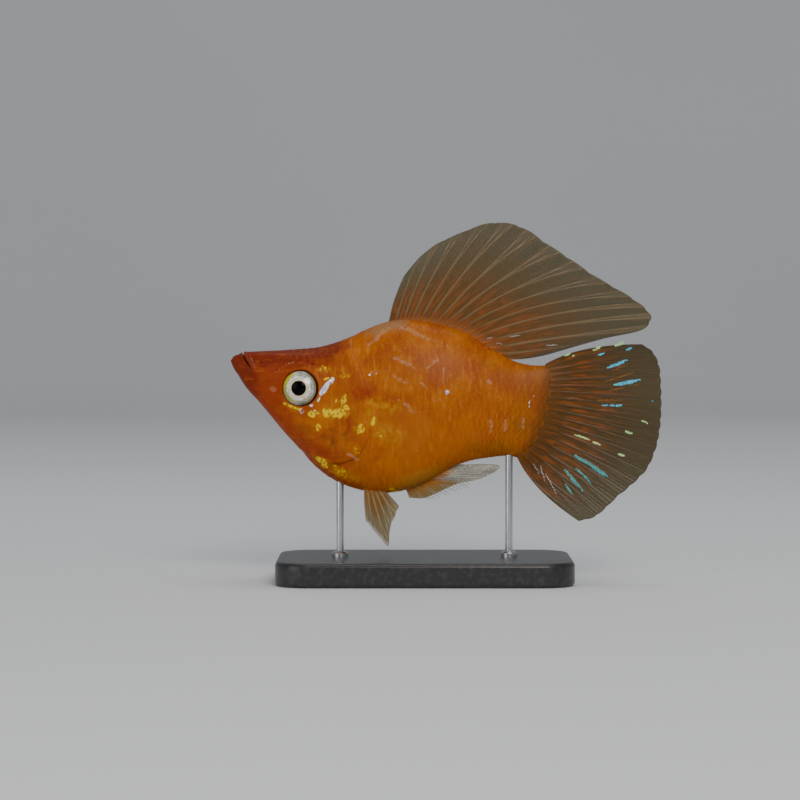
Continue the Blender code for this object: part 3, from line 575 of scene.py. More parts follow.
@dataclass(frozen=True)
class FinFinish(Finish):
    """A thin fin: an amber or clear membrane between rays, deeper in colour near the body."""

    root: Colour
    flesh: Colour
    middle: Colour
    margin: Colour
    ray: Colour
    flame: Colour
    flames: float
    clear_root: float
    clear_margin: float
    ray_alpha: float
    root_reach: float = 0.12
    ray_from: Place = (0.04, 0.22)
    joint_bump: float = 0.35
    joint_pitch: float = 0.55
    strand_bump: float = 0.10
    flame_reach: Place = (0.75, 0.15)
    spikes: float = 0.07
    streaks: float = 46.0
    blade: Colour = (0.20, 0.20, 0.17)
    # The pale colour of the painted highlight specks on the gonopodium's rod.
    glint: Colour = (0.85, 0.85, 0.78)
    blade_from: Place = (2.0, 3.0)

    def paint(self, g: Graph) -> None:
        """Sets the shader, from each point's shares across and along the fin and its nearness to a ray.

        Args:
            g: the material.
        """
        along, ray, share = g.value("along"), g.value("ray"), g.value("share")
        patches = g.noise(1.0, 4.0, g.vector(g.times(share, self.streaks), g.times(along, 6.0)), 1.0)
        strands = g.noise(1.0, 2.0, g.vector(g.times(share, self.streaks * 4), g.times(along, 3.0)), 2.0)
        wander = g.line(patches, 0.24, -0.12)
        reach = g.sum("ADD", along, wander)
        flame = g.times(g.between(patches, 0.44, 0.60), g.between(reach, *self.flame_reach))
        spiked = g.line(ray, -self.spikes, g.sum("ADD", along, g.times(wander, 0.4)))
        deep = g.between(spiked, self.root_reach * 1.6, self.root_reach * 0.4)
        blade = g.between(g.sum("ADD", share, g.times(wander, 0.5)), *self.blade_from)
        # Painted highlights: specks of the glint colour sprinkled over the gonopodium's rod.
        painted_sparkle = g.between(g.noise(2600.0, 4.0, seed=3.0), 0.56, 0.66)
        rod = g.layers(g.mix(g.between(strands, 0.35, 0.65), self.blade, self.ray), (painted_sparkle, 0.6, self.glint))
        base = g.layers(
            g.mix(g.between(reach, 0.30, 0.95), self.middle, self.margin),
            (flame, self.flames, self.flame),
            (g.between(strands, 0.45, 0.7), 0.35, self.flesh),
            (ray, g.between(along, *self.ray_from), self.ray),
            (deep, 1.0, self.flesh),
            (g.between(spiked, self.root_reach, 0.0), 1.0, self.root),
            (blade, g.between(along, 0.15, 0.5), rod),
        )
        solid = g.line(g.between(along, 0.1, 1.0), self.clear_margin - self.clear_root, self.clear_root)
        for other in (g.times(ray, self.ray_alpha), g.times(flame, 0.7 * self.flames), deep):
            solid = g.sum("MAXIMUM", solid, other, clamp=True)
        joints = g.times(g.sum("SINE", g.times(g.value("run"), 2 * math.pi / self.joint_pitch)), ray)
        relief = g.bump(joints, self.joint_bump, 0.00005)
        g.set(
            Base_Color=base,
            Alpha=solid,
            Roughness=0.40,
            Normal=g.bump(strands, self.strand_bump, 0.00004, relief),
            IOR=1.33,
            Coat_Weight=0.08,
            Coat_Roughness=0.22,
        )


@dataclass(frozen=True)
class FleckFinish(Finish):
    """A glint on a fin ray: smooth, pale and slightly metallic."""

    colour: Colour
    deep: Colour

    def paint(self, g: Graph) -> None:
        """Sets the shader."""
        varied = g.mix(g.between(g.noise(2500.0, 2.0), 0.35, 0.65), self.deep, self.colour)
        g.set(Base_Color=varied, Metallic=0.2, Roughness=0.28, Coat_Weight=0.3, Coat_Roughness=0.12)


@dataclass(frozen=True)
class IrisFinish(Finish):
    """A silver-white iris with a yellow-green rim and grey-green arcs, under a clear wet layer."""

    silver: Colour = (0.97, 0.98, 0.93)
    cream: Colour = (0.86, 0.66, 0.36)
    # Pale blue of a painted highlight, laid in patches scattered by noise.
    painted_highlight_blue: Colour = (0.36, 0.50, 0.66)
    green: Colour = (0.58, 0.50, 0.0)
    arcs: Colour = (0.09, 0.13, 0.06)
    steel: Colour = (0.22, 0.31, 0.30)
    rim: Colour = (0.045, 0.012, 0.004)

    def paint(self, g: Graph) -> None:
        """Sets the shader, from each point's radius and how far to the front and below it lies.

        Args:
            g: the material.
        """
        radius, front = g.value("radius"), g.value("front")
        cloud = g.noise(1500.0, 4.0, seed=1.0)
        bands = g.between(g.sum("SINE", g.line(radius, 11.0, g.times(cloud, 7.0))), 0.0, 1.0)
        outer = g.between(g.line(cloud, 0.9, radius), 2.80, 3.40)
        rear = g.times(outer, g.between(front, 0.45, 0.05))
        freckles = g.between(g.noise(2600.0, 3.0, seed=3.0), 0.42, 0.60)
        under = g.times(g.between(g.value("low"), 0.35, 0.85), g.between(radius, 2.1, 3.0))
        base = g.layers(
            g.mix(g.between(cloud, 0.40, 0.66), self.silver, self.cream),
            (bands, 0.30, self.steel),
            # Painted highlight: pale blue patches scattered over the iris by noise.
            (g.between(g.noise(900.0, 3.0, seed=5.0), 0.50, 0.64), 0.5, self.painted_highlight_blue),
            (g.between(radius, 2.3, 1.6), 0.75, self.cream),
            (rear, g.line(bands, 0.35, 0.55), self.arcs),
            (outer, g.between(front, 0.05, 0.70), self.green),
            (under, g.line(freckles, 0.55, 0.2), self.arcs),
            (g.between(radius, 3.40, 3.58), 1.0, self.rim),
        )
        g.set(
            Base_Color=base,
            Metallic=0.15,
            Roughness=0.30,
            Normal=g.bump(bands, 0.15, 0.00006),
            Coat_Weight=1.0,
            Coat_Roughness=0.03,
            Coat_IOR=1.38,
        )


@dataclass(frozen=True)
class SpeckledFinish(Finish):
    """A made surface with faint specks: the pupil, the stand's base and its rods."""

    colour: Colour
    specks: Colour
    amount: float
    roughness: float
    metallic: float = 0.0
    coat: float = 0.0
    ior: float = 1.45
    scale: float = 900.0
    stretch: Spot = (1.0, 1.0, 1.0)

    def paint(self, g: Graph) -> None:
        """Sets the shader."""
        grain = g.noise(self.scale, 4.0, g.scaled(*self.stretch))
        g.set(
            Base_Color=g.layers(self.colour, (g.between(grain, 0.45, 0.7), self.amount, self.specks)),
            Metallic=self.metallic,
            Roughness=g.line(grain, 0.16, self.roughness - 0.08),
            Normal=g.bump(grain, 0.12, 0.00008),
            IOR=self.ior,
            Coat_Weight=self.coat,
            Coat_Roughness=0.08,
        )


@dataclass(frozen=True)
class PaintFinish(Finish):
    """A matt, faintly clouded paint."""

    colour: Colour
    darker: float = 0.94

    def paint(self, g: Graph) -> None:
        """Sets the shader."""
        shade = tuple(part * self.darker for part in self.colour)
        g.set(Base_Color=g.mix(g.between(g.noise(3.0, 2.0), 0.2, 0.8), shade, self.colour), Roughness=0.7)


# The body


@dataclass(frozen=True)
class BodyForm:
    """The plain shape of the body, from its outline and its sections."""

    back_line: Profile = Profile((
        (0.0, -0.35), (0.3, 0.1), (1.8, 0.75), (3.3, 1.2), (6.0, 1.4), (10.2, 1.6), (14.4, 1.85),
        (18.6, 2.3), (21.7, 3.15), (24.9, 4.35), (28.0, 5.8), (31.6, 7.25), (35.4, 8.0), (39.6, 7.7),
        (43.8, 6.9), (48.0, 5.7), (52.2, 3.4), (56.4, 0.85), (59.5, -0.75), (62.7, -1.5), (65.8, -1.6),
        (69.0, -1.4),
    ))
    belly_line: Profile = Profile((
        (0.0, -1.0), (0.3, -1.8), (1.4, -3.6), (3.0, -6.1), (5.6, -9.0), (8.1, -12.0), (11.2, -15.75),
        (14.4, -19.1), (16.5, -21.6), (18.6, -23.6), (21.7, -25.7), (24.9, -27.1), (28.0, -27.9),
        (31.2, -28.3), (35.4, -28.0), (39.6, -26.6), (43.8, -24.4), (46.9, -22.7), (50.1, -21.6),
        (54.3, -20.9), (58.1, -20.6), (61.0, -21.2), (65.0, -22.8), (69.0, -24.0),
    ))
    half_width: Profile = Profile((
        (0.0, 0.8), (0.4, 1.45), (1.2, 2.0), (2.5, 2.55), (5.0, 3.25), (8.0, 4.05), (11.0, 4.8), (14.6, 5.5),
        (18.0, 6.1), (22.0, 6.75), (26.0, 7.2), (30.0, 7.5), (35.0, 7.75), (40.0, 7.6), (45.0, 6.9),
        (50.0, 5.7), (54.0, 4.6), (58.0, 3.55), (62.0, 2.55), (65.5, 1.75), (69.0, 1.2),
    ))
    widest_level: Profile = Profile((
        (0.0, 0.6), (3.0, 0.74), (8.0, 0.68), (14.6, 0.62), (22.0, 0.55), (32.0, 0.5), (69.0, 0.5),
    ))
    upper_fullness: Profile = Profile((
        (0.0, 2.2), (4.0, 3.0), (16.0, 2.9), (24.0, 2.3), (34.0, 2.0), (50.0, 1.85), (69.0, 2.0),
    ))
    lower_fullness: Profile = Profile((
        (0.0, 2.2), (4.0, 2.4), (10.0, 1.85), (18.0, 1.75), (26.0, 2.0), (40.0, 2.15), (52.0, 1.9),
        (69.0, 2.0),
    ))
    length: float = 66.9
    tail_sweep: float = 6.3
    sweep_from: float = 46.0
    sweep_power: float = 2.2

    def heights(self, back: Array | float) -> tuple[Array, Array, Array]:
        """The body's top, its bottom and its widest level at places back from the snout."""
        top, bottom = self.back_line(back), self.belly_line(back)
        return top, bottom, bottom + self.widest_level(back) * (top - bottom)

    def section(self, station: Array, turn: Array) -> Array:
        """The plain surface.

        Args:
            station: the section, as its place along the back; near the tail its lower end is swept forward.
            turn: 0 on the back's ridge to pi on the belly's.

        Returns:
            Places as back, out and up.
        """
        drop = ((1 - np.cos(turn)) / 2) ** self.sweep_power
        back = station - smooth(self.sweep_from, self.length, station) * self.tail_sweep * drop
        top, bottom, level = self.heights(back)
        rise, side = np.cos(turn), np.sin(turn)
        above = rise > 0
        power = 2 / np.where(above, self.upper_fullness(back), self.lower_fullness(back))
        height = np.where(above, top - level, level - bottom) * np.sign(rise) * np.abs(rise) ** power
        return np.stack([back, self.half_width(back) * np.abs(side) ** power, level + height], -1)

    def width_at(self, back: Array | float, up: Array | float) -> Array:
        """Half the body's width, 0 outside its outline.

        Args:
            back: places back from the snout.
            up: their heights.

        Returns:
            The half widths.
        """
        top, bottom, level = self.heights(back)
        above = np.asarray(up) > level
        reach = np.where(above, (up - level) / (top - level), (level - up) / (level - bottom))
        power = np.where(above, self.upper_fullness(back), self.lower_fullness(back))
        return self.half_width(back) * np.clip(1 - np.clip(reach, 0, 1) ** power, 0, 1) ** (1 / power)


class Surface:
    """The body's surface, measured evenly round each section: 0 is the back's ridge and 1 the belly's."""

    def __init__(self, form: BodyForm, stations: int = 280, shares: int = 121, steps: int = 900) -> None:
        """Measures the sections.

        Args:
            form: the body's shape.
            stations: how many sections are measured.
            shares: how many places round each one are kept.
            steps: how many places round each one are measured.
        """
        self.form = form
        self.stations = np.linspace(0, form.length, stations)
        self.shares = np.linspace(0, 1, shares)
        fine = np.linspace(0, math.pi, steps)
        runs = np.diff(form.section(self.stations[:, None], fine[None, :]), axis=1)
        reach = np.cumsum(np.linalg.norm(runs, axis=-1), axis=1)
        reach = np.concatenate([np.zeros((stations, 1)), reach], axis=1)
        self.rounds = reach[:, -1]
        self.turns = np.stack([np.interp(self.shares, line / line[-1], fine) for line in reach])

    def turn(self, station: Array, share: Array) -> Array:
        """The turn that a share of the way round a section stands for.

        Args:
            station: the sections.
            share: the shares.

        Returns:
            The turns, read between those that were measured.
        """
        i = np.clip(np.asarray(station, float) / self.form.length, 0, 1) * (len(self.stations) - 1)
        j = np.clip(share, 0, 1) * (len(self.shares) - 1)
        i0 = np.clip(i.astype(int), 0, len(self.stations) - 2)
        j0 = np.clip(j.astype(int), 0, len(self.shares) - 2)
        di, dj = i - i0, j - j0
        near, far = (self.turns[k, j0] * (1 - dj) + self.turns[k, j0 + 1] * dj for k in (i0, i0 + 1))
        return near * (1 - di) + far * di

    def place(self, station: Array, share: Array) -> Array:
        """Places on the surface as back, out and up, with out positive."""
        station, share = np.broadcast_arrays(np.asarray(station, float), np.asarray(share, float))
        return self.form.section(station, self.turn(station, share))

    def normal(self, station: Array, share: Array, step: float = 0.12, share_step: float = 0.006) -> Array:
        """The outward directions at places on the surface.

        Args:
            station: the places' sections.
            share: their shares round the section.
            step: how far either way the surface is compared along the body.
            share_step: how far either way it is compared round it.

        Returns:
            The directions, with out positive.
        """
        along = self.place(station + step, share) - self.place(station - step, share)
        low, high = np.clip(share - share_step, 0, 1), np.clip(share + share_step, 0, 1)
        normal = np.cross(along, self.place(station, high) - self.place(station, low))
        return normal / np.maximum(np.linalg.norm(normal, axis=-1, keepdims=True), 1e-9)

    def round_length(self, station: Array) -> Array:
        """The length of a section's line from the back's ridge to the belly's."""
        return np.interp(station, self.stations, self.rounds)


@dataclass(frozen=True)
class HeadRelief:
    """The folds, edges and pits of the head, as how far the skin stands out from the plain surface."""

    gill_edge: SideLine = SideLine(
        (25.6, 12.0), (25.7, 3.5), (26.9, -2.0), (28.6, -7.5), (29.2, -12.0), (28.6, -16.2), (26.8, -19.6),
        (24.0, -21.3), (20.6, -21.6), (17.2, -20.6), (14.2, -19.0), (10.0, -22.0),
    )
    gill_middle: Place = (21.5, -12.0)
    gill_radius: float = 9.5
    gill_rise: float = 0.45
    mouth: SideLine = SideLine((2.2, 4.0), (2.5, 1.0), (2.95, -0.2), (3.7, -1.4), (4.45, -2.5))
    lip_rise: float = 0.36
    lip_width: float = 0.75
    eye: Place = (14.65, -6.2)
    eye_opening: float = 3.68
    nostrils: tuple[Spot, ...] = ((6.3, -0.9, 0.30), (9.6, -2.6, 0.36))
    jaw_fold: SideLine = SideLine((3.3, 0.7), (4.3, -0.4), (5.3, -2.0), (5.6, -3.6), (5.0, -5.2))
    cheek_edge: SideLine = SideLine(
        (19.6, -2.0), (21.6, -5.5), (22.4, -9.5), (21.6, -13.5), (18.4, -16.8), (13.5, -17.2),
    )
    throat_lines: tuple[SideLine, ...] = (
        SideLine((12.4, -15.6), (16.0, -18.4), (20.0, -19.9), (24.0, -19.6)),
        SideLine((12.6, -16.6), (16.2, -19.4), (20.0, -20.7), (23.4, -20.7)),
    )
    end: float = 34.0

    def gill_distance(self, back: Array, up: Array) -> Array:
        """How far places lie behind the gill cover's edge, negative on the cover."""
        return self.gill_edge.distance(back, up, 90)[0]

    def eye_distance(self, back: Array, up: Array) -> Array:
        """How far places lie from the eye's middle, seen from the side."""
        return np.hypot(back - self.eye[0], up - self.eye[1])

    def cover(self, back: Array, up: Array, behind: Array) -> Array:
        """The gill cover's rise towards its edge and the step down behind it.

        Args:
            back: places back from the snout.
            up: their heights.
            behind: their distances behind the edge.

        Returns:
            The rise.
        """
        along, over = back - self.gill_middle[0], up - self.gill_middle[1]
        reach = np.hypot(along, over) / self.gill_radius
        swell = smooth(0.3, 0.75, reach) * smooth(-7.0, 1.0, along) * smooth(14.0, 9.0, over)
        low_edge = smooth(-16.0, -20.0, up) * smooth(30.0, 24.0, back) * 0.3
        step = self.gill_rise * np.maximum(swell, low_edge) * (1 - smooth(-0.10, 0.75, behind))
        return step - 0.05 * bell(behind - 0.45, 0.30) * smooth(5.5, 1.5, up)

    def mouth_rise(self, back: Array, up: Array) -> Array:
        """The lips' rise and the slit between them."""
        far, along = self.mouth.distance(back, up)
        slit = 0.95 * bell(far, 0.17) * (1 - 0.75 * smooth(0.6, 1.0, along))
        return self.lip_rise * bell(far, self.lip_width) - slit * (1 - smooth(0.985, 1.0, along) * 0.6)

    def eye_rise(self, eye: Array, above: Array) -> Array:
        """The socket, the lid and the folds over the eye.

        Args:
            eye: distances from the eye's middle.
            above: heights over it.

        Returns:
            The rise.
        """
        socket = 1.7 * (1 - smooth(self.eye_opening - 0.22, self.eye_opening + 0.16, eye))
        lid = 0.16 * bell(eye - self.eye_opening - 0.42, 0.30)
        folds = 0.09 * bell(eye - 5.15, 0.26) - 0.08 * bell(eye - 4.65, 0.22)
        return lid - socket + folds * smooth(-3.5, 1.0, above)

    def nostril_rise(self, back: Array, up: Array) -> Array:
        """The nostrils' pits and their low rims."""
        pits = np.zeros(back.shape)
        for place_back, place_up, radius in self.nostrils:
            far = np.hypot(back - place_back, up - place_up)
            pits += 0.07 * bell(far - radius - 0.12, 0.13) - 0.42 * bell(far, radius * 0.8)
        return pits

    def rise(self, back: Array, up: Array) -> Array:
        """The whole relief.

        Args:
            back: places back from the snout.
            up: their heights.

        Returns:
            The rise of the skin at each place.
        """
        ahead = back < self.end
        result = np.zeros(np.broadcast(back, up).shape)
        b, u = back[ahead], up[ahead]
        behind = self.gill_distance(b, u)
        eye = self.eye_distance(b, u)
        fold = self.jaw_fold.distance(b, u)[0]
        jaw = 0.10 * bell(fold + 0.25, 0.3) - 0.13 * bell(fold, 0.16)
        cheek = self.cheek_edge.distance(b, u)[0]
        ridge = 0.12 * bell(cheek + 0.35, 0.4) - 0.13 * bell(cheek - 0.1, 0.22)
        throat = sum(-0.09 * bell(line.distance(b, u)[0], 0.16) for line in self.throat_lines)
        around_eye = self.eye_rise(eye, u - self.eye[1]) + self.nostril_rise(b, u)
        lines = (jaw + ridge * smooth(0.2, -0.6, behind) + throat) * smooth(4.3, 5.0, eye)
        result[ahead] = self.cover(b, u, behind) + self.mouth_rise(b, u) + around_eye + lines
        return result


@dataclass(frozen=True)
class Blotch:
    """A marking's patch, seen from the side: an ellipse with soft rims."""

    back: float
    up: float
    half_length: float
    half_height: float
    tilt: float = 0.0
    strength: float = 1.0

    def cover(self, back: Array, up: Array) -> Array:
        """How much the patch covers places seen from the side.

        Args:
            back: places back from the snout.
            up: their heights.

        Returns:
            The covers, up to the patch's strength.
        """
        turn = math.radians(self.tilt)
        x, z = back - self.back, up - self.up
        along = (x * math.cos(turn) + z * math.sin(turn)) / self.half_length
        across = (-x * math.sin(turn) + z * math.cos(turn)) / self.half_height
        return self.strength * smooth(1.35, 0.45, np.hypot(along, across))


@dataclass(frozen=True)
class Streak:
    """A marking's thin line, seen from the side."""

    points: Points
    width: float
    strength: float = 1.0

    def cover(self, back: Array, up: Array) -> Array:
        """How much the line covers places seen from the side."""
        far = np.abs(SideLine(*self.points).distance(back, up, 24)[0])
        return self.strength * smooth(1.5 * self.width, 0.3 * self.width, far)


Marks = tuple[Blotch | Streak, ...]


@dataclass(frozen=True)
class Markings:
    """Where each colour of the skin and the scales lies."""

    tail_edge: Profile = Profile((
        (-24.6, 57.6), (-21.2, 60.4), (-17.4, 63.2), (-13.0, 65.0), (-8.8, 66.0), (-4.6, 66.6), (-1.0, 67.0),
        (3.0, 67.2),
    ))
    gold: Marks = (
        Blotch(21.6, -11.4, 2.6, 1.05, 8, 1.05), Blotch(20.0, -10.9, 0.9, 0.8, 0, 0.9),
        Blotch(23.7, -10.2, 1.2, 0.8, 30, 0.8), Blotch(18.3, -11.3, 0.45, 0.5, 0, 0.95),
        Blotch(17.0, -11.6, 1.1, 0.9, -20, 0.76), Blotch(18.4, -14.3, 0.8, 1.1, 0, 0.62),
        Blotch(23.0, -8.5, 1.6, 0.8, 20, 0.66), Blotch(26.9, -14.5, 1.2, 1.2, 20, 1.1),
        Blotch(29.6, -13.1, 0.42, 0.95, -10, 1.05), Blotch(31.0, -16.2, 1.3, 0.9, 0, 0.50),
        Blotch(31.9, -9.6, 1.3, 0.6, -12, 0.50), Blotch(29.4, -10.9, 0.7, 1.3, -30, 0.50),
        Blotch(19.0, -21.4, 1.6, 0.7, -28, 0.9), Blotch(22.5, -23.4, 2.4, 0.9, -28, 0.58),
        Blotch(20.1, -4.2, 0.9, 0.35, 15, 0.85), Blotch(33.7, -28.0, 0.9, 0.45, -20, 1.2),
        Blotch(23.8, -3.6, 1.2, 0.9, 0, 0.62), Blotch(19.2, -2.4, 1.5, 0.6, 0, 0.55),
        Blotch(26.4, -19.0, 1.0, 1.6, 0, 0.5),
        Streak(((11.2, -9.4), (12.8, -10.1), (14.6, -10.7)), 0.32, 0.85),
    )
    silver: Marks = (
        Blotch(19.7, -6.3, 2.0, 0.66, 56, 1.25), Blotch(20.7, -4.9, 0.9, 0.34, 50, 1.2),
        Blotch(18.5, -8.5, 0.8, 0.30, 60, 0.85), Blotch(14.9, -11.0, 0.9, 0.8, 0, 0.66),
        Blotch(16.9, -9.9, 1.0, 0.40, 30, 0.64), Blotch(17.6, -10.9, 0.5, 0.4, 0, 0.6),
        Blotch(29.1, -3.1, 0.8, 0.6, 0, 1.0), Blotch(30.9, -3.1, 0.65, 0.55, 0, 0.85),
        Blotch(27.3, -11.8, 0.28, 0.4, 0, 1.1), Blotch(44.7, -6.5, 0.32, 0.30, 0, 1.0),
        Blotch(48.8, -7.4, 0.5, 0.4, 0, 0.75),
        Streak(((61.9, -10.0), (62.8, -8.9), (63.4, -8.0)), 0.26, 0.95),
    )
    pale: Marks = (
        Streak(
            ((28.2, 3.0), (32.2, 5.6), (34.4, 6.1), (38.4, 5.2), (41.5, 4.2), (44.0, 3.6), (44.6, 2.2)),
            0.34, 0.85,
        ),
        Streak(
            ((33.0, -0.2), (35.6, -0.7), (37.3, -1.0), (39.0, -1.9), (41.2, -1.0), (42.6, -0.2)),
            0.28, 0.9,
        ),
        Streak(((33.3, -3.8), (36.1, -4.4), (37.5, -5.0), (39.0, -5.8), (40.2, -6.4)), 0.27, 0.8),
        Streak(((44.0, -2.4), (43.9, -4.2), (44.1, -6.1)), 0.2, 0.95),
        Streak(((44.7, -6.5), (46.2, -7.3), (48.8, -7.4)), 0.2, 0.55),
        Streak(((33.3, -8.9), (35.4, -9.6), (37.5, -10.6)), 0.26, 0.9),
        Streak(((24.0, -19.7), (25.5, -20.3), (26.8, -21.4)), 0.36, 1.25),
        Streak(((53.9, -13.2), (53.9, -15.5)), 0.28, 0.85),
        Streak(((57.0, -12.8), (57.0, -15.3)), 0.26, 0.85),
        Streak(((60.6, -12.8), (60.6, -14.6)), 0.28, 0.8), Streak(((50.8, -13.6), (50.9, -16.0)), 0.2, 0.55),
        Streak(((4.0, 0.6), (4.9, -1.2), (5.4, -2.8)), 0.16, 0.7),
        Streak(
            ((9.4, -3.0), (11.5, -1.4), (13.6, -0.8), (16.8, -1.6), (18.8, -2.8), (19.8, -4.2)),
            0.17, 0.7,
        ),
        Streak(((10.8, -0.5), (14.2, 0.5), (17.4, 0.2)), 0.14, 0.55),
        Streak(((25.2, 4.0), (25.4, 1.0), (26.4, -1.6)), 0.28, 0.65), Blotch(53.3, -4.8, 1.1, 0.5, -25, 0.9),
        Blotch(8.9, -6.4, 1.0, 0.8, 0, 0.75), Blotch(51.2, -17.3, 0.7, 0.6, 0, 0.6),
    )
    olive: Marks = (
        Blotch(54.0, -18.8, 6.5, 2.2, 0, 0.62), Blotch(40.0, -27.6, 6.0, 1.6, 14, 0.8),
        Blotch(35.6, -14.9, 2.6, 0.9, -6, 0.6), Blotch(60.8, -14.5, 3.0, 3.6, 0, 0.55),
        Blotch(55.6, -1.6, 4.5, 1.2, -20, 0.5), Blotch(15.5, -14.6, 2.4, 1.5, -30, 0.55),
    )
    # Painted shade: dark lines in the gill cover's crease, in the mouth's slit and on the chin below it; the
    # blotches darken the cheek, the head below the eye and the cover before its edge.
    shade: Marks = (
        Blotch(21.4, -16.4, 3.6, 2.8, 0, 0.60), Blotch(15.4, -12.6, 1.7, 0.8, -25, 0.55),
        Blotch(24.9, -11.9, 0.9, 2.2, 0, 0.5),
        Streak(
            ((25.9, 1.5), (26.9, -2.0), (28.6, -7.5), (29.2, -12.0), (28.6, -16.2), (26.8, -19.6)),
            0.22, 0.30,
        ),
        Streak(((2.5, 1.2), (2.95, -0.2), (3.7, -1.4), (4.4, -2.45)), 0.26, 1.4),
        Blotch(2.0, -2.6, 1.6, 0.35, -62, 0.5),
    )
    glow: Marks = (
        Blotch(31.2, -9.6, 3.6, 1.5, -12, 0.75), Blotch(32.6, -15.6, 3.4, 1.9, -8, 0.85),
        Blotch(29.2, -12.4, 1.2, 2.6, 10, 0.5), Blotch(22.0, -11.0, 4.0, 1.8, 10, 0.55),
        Blotch(26.8, -14.4, 2.2, 1.6, 20, 0.45), Blotch(20.4, -22.4, 3.4, 1.2, -28, 0.7),
        Blotch(24.2, -24.0, 3.0, 1.2, -20, 0.55), Blotch(13.6, -10.4, 2.0, 0.8, -20, 0.45),
        Blotch(22.8, -3.4, 2.2, 1.0, 10, 0.35),
    )
    ember: Marks = (
        Blotch(27.2, -7.2, 3.2, 1.9, -10, 0.75), Blotch(24.6, -13.4, 1.0, 2.4, 0, 0.6),
        Blotch(29.4, -19.4, 2.0, 2.6, 20, 0.45),
    )
    milk: Marks = (Blotch(39.6, -26.6, 7.5, 3.4, 14, 0.8),)

    def stem(self, back: Array, up: Array) -> Array:
        """How much of the tail's dark root shows at places seen from the side."""
        ahead = back - self.tail_edge(up)
        return np.maximum(0.95 * smooth(-3.4, 0.0, ahead), 0.40 * smooth(-11.0, -1.0, ahead))

    def at(self, form: BodyForm, back: Array, up: Array, side: Array) -> dict[str, Array]:
        """The value of each marking.

        Args:
            form: the body's shape.
            back: places back from the snout.
            up: their heights.
            side: the sign of each place's side; the right side's patches are shifted a little.

        Returns:
            An array for each marking's name.
        """
        top, bottom = form.back_line(back), form.belly_line(back)
        depth = top - up
        down = depth / np.maximum(top - bottom, 0.5)
        right = (side > 0).astype(float)
        b = back + right * 0.5 * np.sin(up * 0.9 + 1.0)
        u = up + right * 0.4 * np.sin(back * 0.7)
        names = ("gold", "silver", "pale", "olive", "shade", "glow", "ember", "milk")
        found = {name: np.max([mark.cover(b, u) for mark in getattr(self, name)], axis=0) for name in names}
        ember = found.pop("ember")
        crown = smooth(5.4, 1.4, depth) * smooth(31.0, 18.0, back)
        cheeks = 0.75 * smooth(27.0, 20.0, back) * smooth(0.55, 0.9, down)
        head = np.maximum(smooth(25.0, 10.0, back + 0.35 * depth), cheeks)
        stem = self.stem(back, up)
        return found | {
            "crown": np.maximum(crown, 0.9 * smooth(9.0, 3.0, back)),
            "head": np.maximum(head, ember),
            "nape": 0.9 * smooth(25.0, 30.0, back) * smooth(39.0, 34.5, back) * smooth(4.2, 0.8, depth),
            "belly": smooth(0.42, 0.8, down) * smooth(24.0, 30.0, back) * smooth(60.0, 46.0, back),
            "stem": stem,
            "flank": smooth(26.0, 31.0, back) * smooth(0.75, 0.45, down) * (1 - stem),
        }


